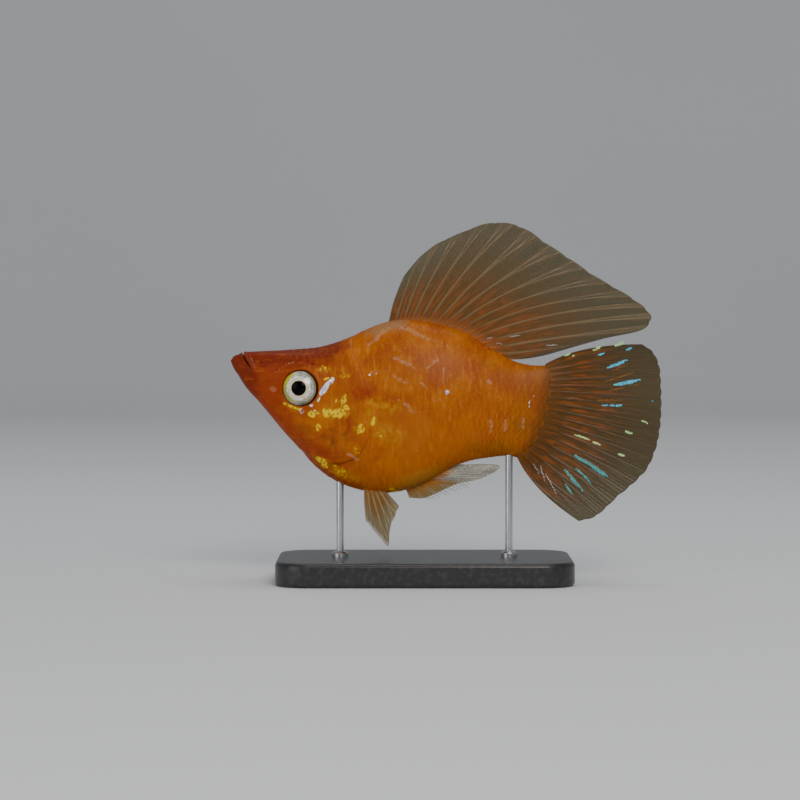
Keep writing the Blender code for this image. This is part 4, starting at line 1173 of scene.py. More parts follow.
@dataclass
class Skin:
    """One skin over head, trunk and tail stem, with the head's folds and the sockets of the eyes."""

    surface: Surface
    relief: HeadRelief = field(default_factory=HeadRelief)
    markings: Markings = field(default_factory=Markings)
    head_step: float = 0.13
    cover_step: float = 0.19
    body_step: float = 0.42
    head_end: float = 6.5
    cover_end: float = 31.0
    around: int = 124
    cap_rings: int = 7
    nose_push: float = 0.11
    map_tip: float = 0.002

    def stations(self) -> Array:
        """The sections of the mesh, closest together at the mouth."""
        length = self.surface.form.length
        ends = (0.0, self.head_end, self.cover_end, length)
        steps = (self.head_step, self.cover_step, self.body_step)
        return np.concatenate([np.arange(*run) for run in zip(ends, ends[1:], steps)] + [[length]])

    def grid(self) -> tuple[Array, Array, Array]:
        """The skin's points.

        Returns:
            The points by section and place round it, their stations, and the signs of their sides.
        """
        shares = np.linspace(0, 1, self.around + 1)
        ring = np.concatenate([shares, shares[-2:0:-1]])
        sides = np.repeat([-1.0, 1.0], [self.around + 1, self.around - 1])
        stations = self.stations()
        points = self.surface.place(stations[:, None], ring[None, :])
        points[..., 1] *= sides
        across = np.roll(points, -1, axis=1) - np.roll(points, 1, axis=1)
        normals = np.cross(across, np.gradient(points, axis=0))
        normals /= np.maximum(np.linalg.norm(normals, axis=-1, keepdims=True), 1e-9)
        middle = points.mean(axis=1, keepdims=True)
        outward = np.sign(((points - middle) * normals).sum(axis=-1).mean())
        rise = self.relief.rise(points[..., 0], points[..., 2])
        rise *= smooth(0.0, 0.5, stations)[:, None] * 0.7 + 0.3
        return points + normals * outward * rise[..., None], stations, sides

    def capped(self, points: Array) -> Array:
        """Adds the small rings that close the snout and the tail's root.

        Args:
            points: the skin's rings.

        Returns:
            All rings, from the snout's to the root's.
        """
        front, rear = points[0], points[-1]
        middle = front.mean(axis=0)
        nose, end = [], []
        for k in range(self.cap_rings, 0, -1):
            angle, part = k / self.cap_rings * math.pi / 2 * 0.97, k / (self.cap_rings + 1)
            push = self.nose_push * math.sin(angle)
            nose.append(middle + (front - middle) * math.cos(angle) - [push, 0, 0])
            end.append(rear * [1, part, 1] + [0.35 * (1 - part) - 0.2, 0, 0])
        return np.concatenate([np.stack(nose), points, np.stack(end)])

    def mapped(self, parts: MeshParts, u: Array, count: int) -> Array:
        """The map's corners.

        Args:
            parts: the skin's faces.
            u: the map's U of each ring.
            count: points in a ring.

        Returns:
            The U and V of every corner, quads first.
        """

        def spots(numbers: Array) -> Array:
            """The U and V of the faces' corners on the rings."""
            turn = numbers % count
            turn = np.where((turn == 0) & (turn.max(axis=1, keepdims=True) > 1), count, turn)
            return np.stack([u[numbers // count], turn / count], -1)

        rim = spots(parts.triangles[:, 1:])
        tip_u = np.repeat([u[0] - self.map_tip, u[-1] + self.map_tip], count)
        tips = np.stack([tip_u, rim[..., 1].min(axis=1)], -1)[:, None]
        ends = np.concatenate([tips, rim], axis=1)
        return np.concatenate([spots(parts.faces).reshape(-1, 2), ends.reshape(-1, 2)])

    def build(self, finish: Finish) -> None:
        """Makes the skin and dresses it.

        Args:
            finish: its finish.
        """
        points, stations, sides = self.grid()
        rings = self.capped(points)
        parts = ring_parts(rings, flip=True)
        back, _, up = rings.reshape(-1, 3).T
        found = self.markings.at(self.surface.form, back, up, np.tile(sides, len(rings)))
        parts.values = {label: np.append(numbers, [numbers[0], 0.0]) for label, numbers in found.items()}
        nose = np.linspace(-0.3, -0.02, self.cap_rings)
        end = stations[-1] + np.linspace(0.05, 0.3, self.cap_rings)
        parts.corners = self.mapped(parts, map_along(np.concatenate([nose, stations, end])), rings.shape[1])
        parts.build("skin", finish.dress("flesh"), "trunk", ("head", "trunk", "tail_stem"))


@dataclass
class ScaleCoat:
    """Overlapping scales, each a thin curved plate with its root sunk in the skin."""

    skin: Skin
    spacing: float = 1.36
    first_column: int = 7
    rows: int = 13
    length: float = 2.35
    width_over_row: float = 1.24
    thickness: float = 0.05
    root_depth: float = 0.07
    rear_rise: float = 0.055
    dome: float = 0.035
    across: int = 8
    along: int = 6
    seed: int = 7
    map_patch: float = 0.003

    def roots(self) -> tuple[Array, Array, Array]:
        """The scales' places.

        Returns:
            Their stations, their shares round the section, and whether each is on the head.
        """
        length = self.skin.surface.form.length
        columns = np.arange(self.first_column, int(length / self.spacing) + 1)
        row = np.repeat(np.arange(self.rows), len(columns))
        station = (np.tile(columns, self.rows) + 0.5 * (row % 2)) * self.spacing
        share = (row + 0.5) / self.rows
        back, _, up = self.skin.surface.place(station, share).T
        behind = self.skin.relief.gill_distance(back, up)
        eye = self.skin.relief.eye_distance(back, up)
        clear = (eye > 5.0) & (back > 10.5) & ((share < 0.36) | (back > 19.0))
        on_head = (behind < -self.length - 0.2) & clear
        keep = ((behind > -0.25) | on_head) & (station < length - 0.3)
        return station[keep], share[keep], on_head[keep]

    def plates(self, side: Side) -> MeshParts:
        """The scales of one side.

        Args:
            side: which.

        Returns:
            Their joined mesh.
        """
        surface, markings = self.skin.surface, self.skin.markings
        station, share, on_head = self.roots()
        count = len(station)
        rng = np.random.default_rng(self.seed + side.value)
        jitter = rng.normal(0, 1, (3, count))
        v = np.repeat(np.linspace(0, 1, self.along + 1), self.across + 1)
        u = np.tile(np.linspace(-1, 1, self.across + 1), self.along + 1)
        ending = smooth(52.0, 66.0, station)
        long = (self.length * (1 - 0.34 * ending) * (1 + 0.03 * jitter[0]))[:, None]
        wide = surface.round_length(station) / self.rows * self.width_over_row * (1 + 0.03 * jitter[1])
        s = station[:, None] + long * (v * (1 - 0.34 * u**2) - 0.12)
        swell = 0.82 + 0.18 * np.sin(np.pi * np.clip(v, 0, 0.9))
        h = np.clip(share[:, None] + wide[:, None] / 2 * u * swell / surface.round_length(s), 0.001, 0.999)
        base, normal = surface.place(s, h), surface.normal(s, h)
        ground = np.where(on_head[:, None], self.skin.relief.rise(base[..., 0], base[..., 2]), 0.0)
        tilt = (np.where(on_head, 0.55, 1.0) * (1 - 0.75 * ending) * (1 + 0.15 * jitter[2]))[:, None]
        lift = (self.root_depth + self.rear_rise * tilt) * v**0.9 - self.root_depth
        level = (ground + lift + self.dome * (1 - u**2) * np.sin(np.pi * v * 0.5))[..., None]
        points = np.concatenate([base + normal * level, base + normal * (level - self.thickness)], axis=1)
        points[..., 1] *= side.value
        single = plate_faces(self.along + 1, self.across + 1)
        single = single[:, ::-1] if side is Side.LEFT else single
        twice = 2 * len(v)
        faces = (single + twice * np.arange(count)[:, None, None]).reshape(-1, 4)
        back, _, up = points.reshape(-1, 3).T
        root_back, _, root_up = np.repeat(surface.place(station, share), twice, axis=0).T
        halfway = (back + root_back) / 2, (up + root_up) / 2
        values = markings.at(surface.form, *halfway, np.full(len(back), float(side.value)))
        values["stem"] = markings.stem(back, up)
        values["rim"] = np.tile(v, 2 * count)
        low_rear = smooth(44.0, 52.0, root_back) * smooth(64.0, 58.0, root_back) * bell(root_up + 14.0, 6.0)
        values["rim_show"] = (0.12 + 0.20 * low_rear) * np.repeat(0.7 + 0.3 * rng.random(count), twice)
        centre = map_along(station), share / 2 if side is Side.LEFT else 1 - share / 2
        spread = (np.tile(v, 2) - 0.5) * self.map_patch, np.tile(u, 2) / 2 * self.map_patch
        maps = [(middle[:, None] + part).ravel() for middle, part in zip(centre, spread)]
        corners = np.stack(maps, -1)[faces.ravel()]
        return MeshParts(points.reshape(-1, 3), faces, values=values, corners=corners)

    def build(self, finish: Finish) -> None:
        """Makes both sides' scales, each side joined in one piece."""
        material = finish.dress("scales")
        for side in Side:
            self.plates(side).build("scales_" + side.label, material, "trunk", smooth_angle=60.0)


@dataclass
class Eye:
    """One eye: a silver iris that bulges from its socket, and the dark ball of the lens in its pupil."""

    side: Side
    form: BodyForm
    middle: Place = HeadRelief.eye
    radius: float = 4.05
    inset: float = 0.995
    half_depth: float = 2.3
    rear_depth: float = 0.55
    stands_out: float = 1.15
    faces_forward: float = math.radians(10.5)
    pupil: float = 1.5
    rings: int = 64
    lens_rings: int = 40
    spokes: int = 120

    def to_head(self, across: Array, up: Array, out: Array) -> Array:
        """Places of the eye's own set on the head.

        Args:
            across: towards the tail.
            up: upwards.
            out: away from the head.

        Returns:
            Places as back, out and up.
        """
        c, s = math.cos(self.faces_forward), math.sin(self.faces_forward)
        centre = float(self.form.width_at(*self.middle)) + self.stands_out - self.half_depth
        away = (centre + across * s + out * c) * self.side.value
        return np.stack([self.middle[0] + across * c - out * s, away, self.middle[1] + up], -1)

    def dome(self, radii: Array) -> Array:
        """The eyeball's heights over its middle plane at distances from its axis."""
        return self.half_depth * np.sqrt(np.clip(1 - (radii / self.inset / self.radius) ** 2, 0, 1))

    def disc(self, radii: Array, heights: Array) -> MeshParts:
        """A round piece.

        Args:
            radii: the radius of each ring, with the first and last on the axis.
            heights: the height of each ring.

        Returns:
            The piece, with its own polar values.
        """
        turn = np.arange(self.spokes) / self.spokes * 2 * math.pi
        across, up = (np.append(np.outer(radii[1:-1], part(turn)), [0.0, 0.0]) for part in (np.cos, np.sin))
        out = np.append(np.repeat(heights[1:-1], self.spokes), heights[[0, -1]])
        faces, ends = ring_faces(len(radii) - 2, self.spokes, flip=self.side is Side.LEFT)
        values = {
            "radius": np.hypot(across, up),
            "front": smooth(-0.3, 1.0, -across / self.radius),
            "low": smooth(-0.2, 0.8, (-up * 0.8 - across * 0.6) / self.radius),
        }
        return MeshParts(self.to_head(across, up, out), faces, ends, values)

    def build(self, iris: Finish, lens: Finish) -> None:
        """Makes the eyeball and its lens, and dresses them.

        Args:
            iris: the eyeball's finish.
            lens: the lens's finish.
        """
        radii = self.radius * self.inset * np.sin(np.linspace(0, math.pi / 2, self.rings))
        heights = self.dome(radii) - 0.05
        heights -= 0.32 * smooth(self.pupil + 0.22, self.pupil - 0.05, radii)
        heights += 0.06 * bell(radii - self.pupil - 0.32, 0.16) - 0.05 * bell(radii - 3.5, 0.12)
        rear = radii[::-1][1::4]
        rear_heights = -self.dome(rear) * self.rear_depth
        radii = np.concatenate([radii, rear, [0.0]])
        heights = np.concatenate([heights, rear_heights, [-self.half_depth * self.rear_depth]])
        turn = np.linspace(0, math.pi, self.lens_rings)
        lens_shape = (self.pupil + 0.02) * np.sin(turn), self.half_depth - 0.47 + 0.42 * np.cos(turn)
        name = "eye_" + self.side.label
        ball = self.disc(radii, heights)
        ball.build(name + "_ball", iris.dress("iris_" + self.side.label), name, (name,), 80.0)
        pupil = self.disc(*lens_shape)
        pupil.build(name + "_lens", lens.dress("lens_" + self.side.label), name, smooth_angle=80.0)


# The fins


FinLine = tuple[Profile, Profile]
OnFin = Callable[[Array, Array], Array]


@dataclass(frozen=True)
class FinPlan:
    """A fin in its own plane: rays that leave a root line at set angles and bend to a margin.

    The root and margin hold a share 0 to 1 across the fin with a place and a height. The bow is how far the
    sheet leaves its plane, and the thickness half its depth, each from the shares across and along.
    """

    name: str
    rays: int
    root: FinLine
    margin: FinLine
    leave: Profile
    bow: OnFin
    thickness: OnFin
    ray_height: float
    ray_width: float
    fork: float
    second_fork: float
    columns: int
    rows: int = 90
    spread: float = 0.25
    bend: float = 0.42
    notch: float = 0.008
    sheet_wave: float = 0.05

    def flat(self, share: Array, along: Array) -> tuple[Array, Array]:
        """Places of the sheet in its plane.

        Args:
            share: the shares across.
            along: the shares along.

        Returns:
            The places back and up.
        """
        angle = np.radians(self.leave(share))
        starts, ends = ([line(share) for line in pair] for pair in (self.root, self.margin))
        span = np.hypot(ends[0] - starts[0], ends[1] - starts[1]) * self.bend
        guides = starts[0] + np.cos(angle) * span, starts[1] + np.sin(angle) * span
        first, second, third = (1 - along) ** 2, 2 * along * (1 - along), along**2
        back, up = (a * first + b * second + c * third for a, b, c in zip(starts, guides, ends))
        return back, up

    def branches(self, along: Array) -> list[Array]:
        """Where a ray's branches run, as shares of the space between rays, from its own line."""
        first = self.spread * smooth(self.fork, 1.05, along) ** 0.7
        second = 0.5 * self.spread * smooth(self.second_fork, 1.05, along) ** 0.7
        return [first + second, first - second, -first + second, -first - second]


def in_middle_plane(back: Array, up: Array, out: Array) -> Array:
    """Places of a fin that stands in the fish's middle plane."""
    return np.stack([back, out, up], -1)


@dataclass
class Fin:
    """A fin's thin sheet with the ridges of its branching rays, set on the body by a placing function."""

    plan: FinPlan
    seed: int
    to_body: Callable[[Array, Array, Array], Array] = in_middle_plane

    def sheet(self) -> dict[str, Array]:
        """The fin's middle surface and its half thickness, on a grid of columns across and rows along."""
        plan = self.plan
        columns = (plan.rays - 1) * plan.columns
        share = (np.arange(columns + 1) / columns)[:, None]
        local = (np.arange(columns + 1) / plan.columns)[:, None]
        rng = np.random.default_rng(self.seed)
        uneven = Profile(tuple(enumerate(rng.normal(0, 0.35, plan.rays + 2))))(local + 0.5)
        here = local - np.round(local)
        along = (np.arange(plan.rows + 1) / plan.rows) * (1 - plan.notch * (4 * here**2 + 0.3 * uneven))
        back, up = plan.flat(share, along)
        steps = np.hypot(np.diff(back, axis=0), np.diff(up, axis=0))
        gap = np.concatenate([steps[:1], steps]) * plan.columns
        width = plan.ray_width * (1 - 0.45 * along) / np.maximum(gap, 0.25)
        lines = [line + shift for line in plan.branches(along) for shift in (-1.0, 0.0, 1.0)]
        ray = np.max([bell(here - line, width) for line in lines], axis=0) * smooth(0.0, 0.06, along)
        runs = np.hypot(np.diff(back, axis=1), np.diff(up, axis=1))
        run = np.concatenate([np.zeros((columns + 1, 1)), np.cumsum(runs, axis=1)], axis=1)
        sag = plan.sheet_wave * np.sin(local * math.pi * 2.0 + 3 * along) * smooth(0.3, 1.0, along)
        half = plan.thickness(share, along) + plan.ray_height * (1 - 0.55 * along) * ray
        return {
            "back": back, "up": up, "out": plan.bow(share, along) + sag, "half": half, "ray": ray, "run": run,
            "along": along, "share": np.broadcast_to(share, along.shape),
        }

    def build(self, material: bpy.types.Material) -> None:
        """Makes the fin, which is named after the node that it replaces, sets it on the model's body and
        hides that node.

        Args:
            material: its finish.
        """
        grid = self.sheet()
        outs = grid["out"] - grid["half"], grid["out"] + grid["half"]
        points = np.concatenate([self.to_body(grid["back"], grid["up"], out).reshape(-1, 3) for out in outs])
        faces = plate_faces(*grid["back"].shape)
        faces = faces[:, ::-1] if inwards(points, faces) else faces
        values = {label: np.tile(grid[label].ravel(), 2) for label in ("ray", "run", "along", "share")}
        map_u = np.add.outer([0.01, 0.52], grid["along"].ravel() * 0.46).ravel()
        corners = np.stack([map_u, values["share"] * 0.96 + 0.02], -1)[faces.ravel()]
        name = self.plan.name
        parts = MeshParts(points, faces, values=values, corners=corners)
        parts.build(name + "_dressed", material, name, (name,))


def fin_line(*points: Spot) -> FinLine:
    """Two profiles, of the place and the height, from share, back and up points."""
    shares, backs, ups = zip(*points)
    return Profile(tuple(zip(shares, backs))), Profile(tuple(zip(shares, ups)))


def thin_sheet(root: float, middle: float, margin: float, reach: float = 0.12) -> OnFin:
    """Half the depth of a fin's sheet, which thins from a fleshy root to a fine margin.

    Args:
        root: half the depth at the root.
        middle: half the depth past it.
        margin: half the depth at the margin.
        reach: how far along the root's flesh goes.

    Returns:
        A function of the shares across and along.
    """

    def half(share: Array, along: Array) -> Array:
        """Half the depth at places of the sheet."""
        flesh = (root - middle) * (1 - smooth(0.0, reach, along))
        return middle + flesh + (margin - middle) * smooth(0.3, 1.0, along) + 0.0 * share

    return half


@dataclass
class FinSet:
    """Every fin of the fish."""

    surface: Surface
    amber: FinFinish = FinFinish(
        root=(0.42, 0.092, 0.0), flesh=(0.26, 0.072, 0.0), middle=(0.115, 0.050, 0.0),
        margin=(0.068, 0.052, 0.002), ray=(0.22, 0.150, 0.060), flame=(0.30, 0.066, 0.0), flames=0.85,
        clear_root=0.86, clear_margin=0.66, ray_alpha=0.88, root_reach=0.085, spikes=0.060,
    )
    tail: FinFinish = FinFinish(
        root=(0.17, 0.050, 0.0), flesh=(0.11, 0.042, 0.0), middle=(0.090, 0.037, 0.0),
        margin=(0.068, 0.049, 0.001), ray=(0.070, 0.034, 0.001), flame=(0.27, 0.062, 0.0), flames=0.9,
        clear_root=0.92, clear_margin=0.76, ray_alpha=0.94, root_reach=0.15, flame_reach=(0.95, 0.35),
        spikes=0.06,
    )
    milky: FinFinish = FinFinish(
        root=(0.46, 0.125, 0.002), flesh=(0.32, 0.150, 0.012), middle=(0.22, 0.140, 0.030),
        margin=(0.19, 0.150, 0.060), ray=(0.46, 0.43, 0.35), flame=(0.34, 0.160, 0.020), flames=0.4,
        clear_root=0.98, clear_margin=0.84, ray_alpha=0.98, root_reach=0.80, ray_from=(0.45, 0.80),
        spikes=0.10, streaks=20.0, blade_from=(0.40, 0.54),
    )
    straw: FinFinish = FinFinish(
        root=(0.42, 0.150, 0.020), flesh=(0.30, 0.140, 0.020), middle=(0.20, 0.090, 0.006),
        margin=(0.15, 0.115, 0.025), ray=(0.40, 0.29, 0.11), flame=(0.30, 0.090, 0.001), flames=0.8,
        clear_root=0.70, clear_margin=0.40, ray_alpha=0.85, streaks=16.0,
    )
    clear: FinFinish = FinFinish(
        root=(0.58, 0.120, 0.001), flesh=(0.62, 0.165, 0.004), middle=(0.66, 0.23, 0.02),
        margin=(0.66, 0.34, 0.10), ray=(0.70, 0.27, 0.03), flame=(0.62, 0.160, 0.004), flames=0.0,
        clear_root=0.05, clear_margin=0.015, ray_alpha=0.10, root_reach=0.10, joint_bump=0.08,
        strand_bump=0.04,
    )

    def sail(self) -> Fin:
        """The dorsal fin."""
        first, last, sunk = 32.9, 56.3, 1.1
        places = np.linspace(0, 1, 9)
        backs = first + (last - first) * places
        ups = self.surface.form.back_line(backs) - sunk
        margin = fin_line(
            (0.0, 36.2, 17.2), (0.06, 39.0, 20.6), (0.12, 42.1, 23.3), (0.2, 47.4, 25.95),
            (0.29, 54.7, 28.38), (0.35, 59.3, 28.0), (0.47, 68.1, 22.7), (0.59, 77.0, 16.8),
            (0.7, 84.5, 12.2), (0.77, 87.3, 9.9), (0.82, 88.1, 8.1), (0.88, 85.8, 5.7), (0.94, 77.8, 3.9),
            (1.0, 67.1, 0.8),
        )
        leave = Profile(((0.0, 84), (0.12, 76), (0.25, 66), (0.5, 44), (0.7, 29), (0.85, 13), (1.0, -8)))

        def bow(share: Array, along: Array) -> Array:
            """The sail's wave."""
            return 1.6 * along * along * np.sin(2.2 * math.pi * share + 0.4)

        plan = FinPlan(
            "dorsal_fin", 16, fin_line(*zip(places, backs, ups)), margin, leave, bow,
            thin_sheet(0.42, 0.13, 0.05), ray_height=0.17, ray_width=0.22, fork=0.5, second_fork=0.78,
            columns=20, spread=0.14,
        )
        return Fin(plan, 3)

    def tail_fin(self) -> Fin:
        """The tail fin."""
        sunk = 1.0
        edge = (
            (0.0, 66.9, -1.3), (0.2, 66.6, -4.6), (0.42, 66.0, -8.8), (0.62, 65.0, -13.0),
            (0.82, 63.3, -17.2), (1.0, 60.9, -20.7),
        )
        root = fin_line(*((share, back - sunk, up) for share, back, up in edge))
        margin = fin_line(
            (0.0, 86.0, 2.9), (0.07, 88.3, 1.3), (0.14, 89.6, -1.3), (0.25, 90.03, -5.9),
            (0.36, 90.03, -10.5), (0.48, 89.7, -15.5), (0.58, 88.7, -19.7), (0.66, 87.0, -23.5),
            (0.74, 84.1, -26.5), (0.81, 81.0, -29.0), (0.87, 78.4, -31.5), (0.94, 75.7, -33.4),
            (1.0, 72.8, -34.1),
        )
        leave = Profile((
            (0.0, 30), (0.12, 14), (0.25, 4), (0.5, -10), (0.7, -20), (0.8, -28), (0.9, -41), (1.0, -66),
        ))

        def bow(share: Array, along: Array) -> Array:
            """The tail's swing to the left and its wave."""
            return -2.4 * along * along + 0.7 * along * along * np.sin(3.5 * math.pi * share)

        def thickness(share: Array, along: Array) -> Array:
            """Half the depth, which starts as the tail stem's."""
            wide = self.surface.form.width_at(root[0](share) + sunk, root[1](share))
            flesh = np.maximum(wide - 0.12, 0.42) - 0.13
            return 0.13 + flesh * (1 - smooth(0.0, 0.30, along)) - 0.08 * smooth(0.3, 1.0, along)

        plan = FinPlan(
            "tail_fin", 19, root, margin, leave, bow, thickness,
            ray_height=0.18, ray_width=0.2, fork=0.26, second_fork=0.52, columns=16,
        )
        return Fin(plan, 5)

    def anal_fin(self) -> Fin:
        """The anal fin with the gonopodium."""
        sunk = 1.2
        root = fin_line((0.0, 35.8, -27.6 + sunk), (0.5, 40.4, -26.2 + sunk), (1.0, 44.0, -24.3 + sunk))
        margin = fin_line(
            (0.0, 37.3, -29.4), (0.14, 40.4, -29.5), (0.28, 43.8, -28.1), (0.42, 47.6, -26.4),
            (0.55, 52.6, -25.3), (0.68, 56.5, -22.9), (0.8, 53.6, -22.3), (0.9, 49.6, -22.4),
            (1.0, 46.6, -22.2),
        )
        leave = Profile(((0.0, -50), (0.3, -25), (0.55, -6), (0.68, 6), (1.0, 20)))

        def bow(share: Array, along: Array) -> Array:
            """No bow: the fin is flat."""
            return 0.0 * share * along

        def thickness(share: Array, along: Array) -> Array:
            """Half the depth, with the rod in the fin's lower edge."""
            rod = 0.46 * bell(share - 0.62, 0.15) * (1 - 0.5 * along) * smooth(0.0, 0.3, along)
            return thin_sheet(0.75, 0.16, 0.08, 0.45)(share, along) + rod

        plan = FinPlan(
            "anal_fin", 9, root, margin, leave, bow, thickness,
            ray_height=0.15, ray_width=0.20, fork=0.9, second_fork=1.0, columns=16, rows=70, notch=0.012,
        )
        return Fin(plan, 7)

    def pelvic_fin(self, side: Side) -> Fin:
        """A pelvic fin, with its third ray drawn out to a point.

        Args:
            side: which of the two.

        Returns:
            The fin.
        """
        sunk, apart, spread, hinge = 1.2, 1.7, math.radians(13), -27.9
        c, s = math.cos(spread), math.sin(spread) * side.value
        root = fin_line((0.0, 27.9, hinge + sunk), (1.0, 31.1, -28.2 + sunk))
        margin = fin_line(
            (0.0, 28.2, -34.2), (0.2, 30.1, -36.5), (0.4, 32.9, -39.5), (0.6, 33.3, -36.1),
            (0.8, 34.3, -33.4), (1.0, 35.2, -31.3),
        )
        leave = Profile(((0.0, -94), (0.4, -78), (0.8, -55), (1.0, -42)))

        def bow(share: Array, along: Array) -> Array:
            """A slight bow."""
            return 0.25 * along * np.sin(5 * share)

        def to_body(back: Array, up: Array, out: Array) -> Array:
            """Places of the fin, turned out about its hinge."""
            below = up - hinge
            return np.stack([back, apart * side.value + c * out - s * below, hinge + c * below + s * out], -1)

        plan = FinPlan(
            "pelvic_fin_" + side.label, 6, root, margin, leave, bow, thin_sheet(0.4, 0.13, 0.05),
            ray_height=0.14, ray_width=0.2, fork=0.45, second_fork=0.8, columns=18, rows=60, notch=0.03,
        )
        return Fin(plan, 11, to_body)

    def pectoral_fin(self, side: Side) -> Fin:
        """A pectoral fin, a clear rounded fan held away from the flank.

        Args:
            side: which of the two.

        Returns:
            The fin.
        """
        hinge = 30.4, -12.9
        out_angle, down_angle = math.radians(27), math.radians(20)
        root_half, length, sunk = 1.7, 12.4, 1.6
        fan = Profile(((0.0, 27), (0.5, -1), (1.0, -32)))
        reach = Profile((
            (0.0, 0.72), (0.1, 0.87), (0.3, 1.0), (0.5, 0.99), (0.75, 0.86), (0.9, 0.7), (1.0, 0.5),
        ))
        shares = np.linspace(0, 1, 15)
        angle, rays = np.radians(fan(shares)), length * reach(shares)
        tips = root_half * (1 - 2 * shares) + rays * np.sin(angle)
        margin = fin_line(*zip(shares, rays * np.cos(angle), tips))
        level = math.cos(out_angle)
        along_axis = np.array([
            level * math.cos(down_angle), side.value * math.sin(out_angle), -level * math.sin(down_angle),
        ])
        along_axis /= np.linalg.norm(along_axis)
        up_axis = np.array([0, 0, 1.0]) - along_axis * along_axis[2]
        up_axis /= np.linalg.norm(up_axis)
        axes = np.stack([along_axis, up_axis, np.cross(along_axis, up_axis) * -side.value])
        start = np.array([hinge[0], side.value * float(self.surface.form.width_at(*hinge)), hinge[1]])

        def bow(share: Array, along: Array) -> Array:
            """The fan's bow towards the flank."""
            return -0.9 * along * along + 0.0 * share

        def to_body(back: Array, up: Array, out: Array) -> Array:
            """Places of the fin, set on its own axes."""
            return start + np.stack([back, up, out], -1) @ axes

        plan = FinPlan(
            "pectoral_fin_" + side.label, 13, fin_line((0.0, -sunk, root_half), (1.0, -sunk, -root_half)),
            margin, fan, bow, thin_sheet(0.4, 0.07, 0.04),
            ray_height=0.09, ray_width=0.13, fork=0.5, second_fork=0.8, columns=12, rows=60, notch=0.015,
        )
        return Fin(plan, 13, to_body)

    def build(self) -> None:
        """Makes every fin and dresses it."""
        self.sail().build(self.amber.dress("fin_amber"))
        self.tail_fin().build(self.tail.dress("fin_tail"))
        self.anal_fin().build(self.milky.dress("fin_milky"))
        straw, clear = self.straw.dress("fin_straw"), self.clear.dress("fin_clear")
        for side in Side:
            self.pelvic_fin(side).build(straw)
            self.pectoral_fin(side).build(clear)


@dataclass(frozen=True)
class Glints:
    """The glints of one colour on a fin, each lying along the rays.

    A glint is given by its start's and its end's places back and up, and its width. It is a row of plates:
    the pitch is the length of one plate's place in it, and the fill the share of that which the plate takes.
    """

    label: str
    slot: str
    finish: FleckFinish
    pitch: float
    fill: float
    flecks: tuple[tuple[float, float, float, float, float], ...]


WHITE = FleckFinish((0.72, 0.75, 0.76), (0.50, 0.54, 0.58))
GLINTS = (
    Glints("cyan", "tail_fin", FleckFinish((0.14, 0.88, 0.95), (0.0, 0.42, 0.80)), 0.42, 1.0, (
        (76.9, 0.6, 78.3, 1.1, 0.5), (82.7, 1.7, 84.0, 2.2, 0.72), (78.8, -2.15, 83.1, -0.4, 0.78),
        (80.2, -5.7, 85.8, -4.6, 0.88), (77.7, -9.95, 79.0, -9.95, 0.42), (79.3, -10.0, 81.9, -9.9, 0.66),
        (88.1, -9.0, 88.5, -8.9, 0.34),
    )),
    Glints("teal", "tail_fin", FleckFinish((0.10, 0.52, 0.46), (0.04, 0.26, 0.28)), 0.55, 1.0, (
        (72.0, -20.4, 79.1, -25.0, 1.15), (69.9, -23.4, 73.8, -28.0, 0.78), (72.3, -23.1, 75.6, -26.4, 0.60),
        (70.0, -26.4, 71.6, -28.7, 0.50),
    )),
    Glints("green", "tail_fin", FleckFinish((0.74, 1.0, 0.48), (0.36, 0.80, 0.26)), 0.42, 0.98, (
        (69.9, 0.4, 71.1, 1.05, 0.48), (71.5, 0.3, 72.0, 0.6, 0.36), (75.8, 1.6, 77.6, 2.4, 0.72),
        (80.4, 2.45, 82.2, 3.3, 0.80), (72.0, -16.1, 75.3, -17.2, 0.46), (75.8, -17.6, 77.5, -18.3, 0.50),
        (82.6, -15.2, 84.1, -15.8, 0.82), (85.9, -13.1, 87.3, -13.7, 0.50), (81.1, -20.2, 82.5, -20.5, 0.60),
    )),
    Glints("amber", "tail_fin", FleckFinish((0.62, 0.20, 0.0), (0.32, 0.07, 0.0)), 0.52, 0.55, (
        (79.8, -2.6, 82.6, -1.7, 0.26), (78.2, -5.1, 84.5, -3.0, 0.28), (79.3, -6.8, 82.5, -6.2, 0.28),
        (83.6, -5.9, 85.6, -5.5, 0.20), (76.9, -8.9, 82.0, -8.75, 0.26), (76.6, -10.8, 80.4, -11.0, 0.26),
        (70.6, -8.6, 72.6, -8.3, 0.18),
    )),
    Glints("scratch", "tail_fin", WHITE, 0.6, 0.9, (
        (64.9, -22.6, 65.8, -25.9, 0.16), (65.9, -24.2, 68.2, -28.5, 0.18), (63.4, -22.2, 64.6, -24.4, 0.14),
    )),
    Glints("white", "dorsal_fin", WHITE, 0.4, 0.6, (
        (58.2, 4.5, 60.6, 4.7, 0.26), (66.0, 2.6, 68.4, 2.7, 0.28), (53.6, 4.0, 54.8, 4.3, 0.20),
        (55.6, 3.1, 56.9, 2.9, 0.18),
    )),
)


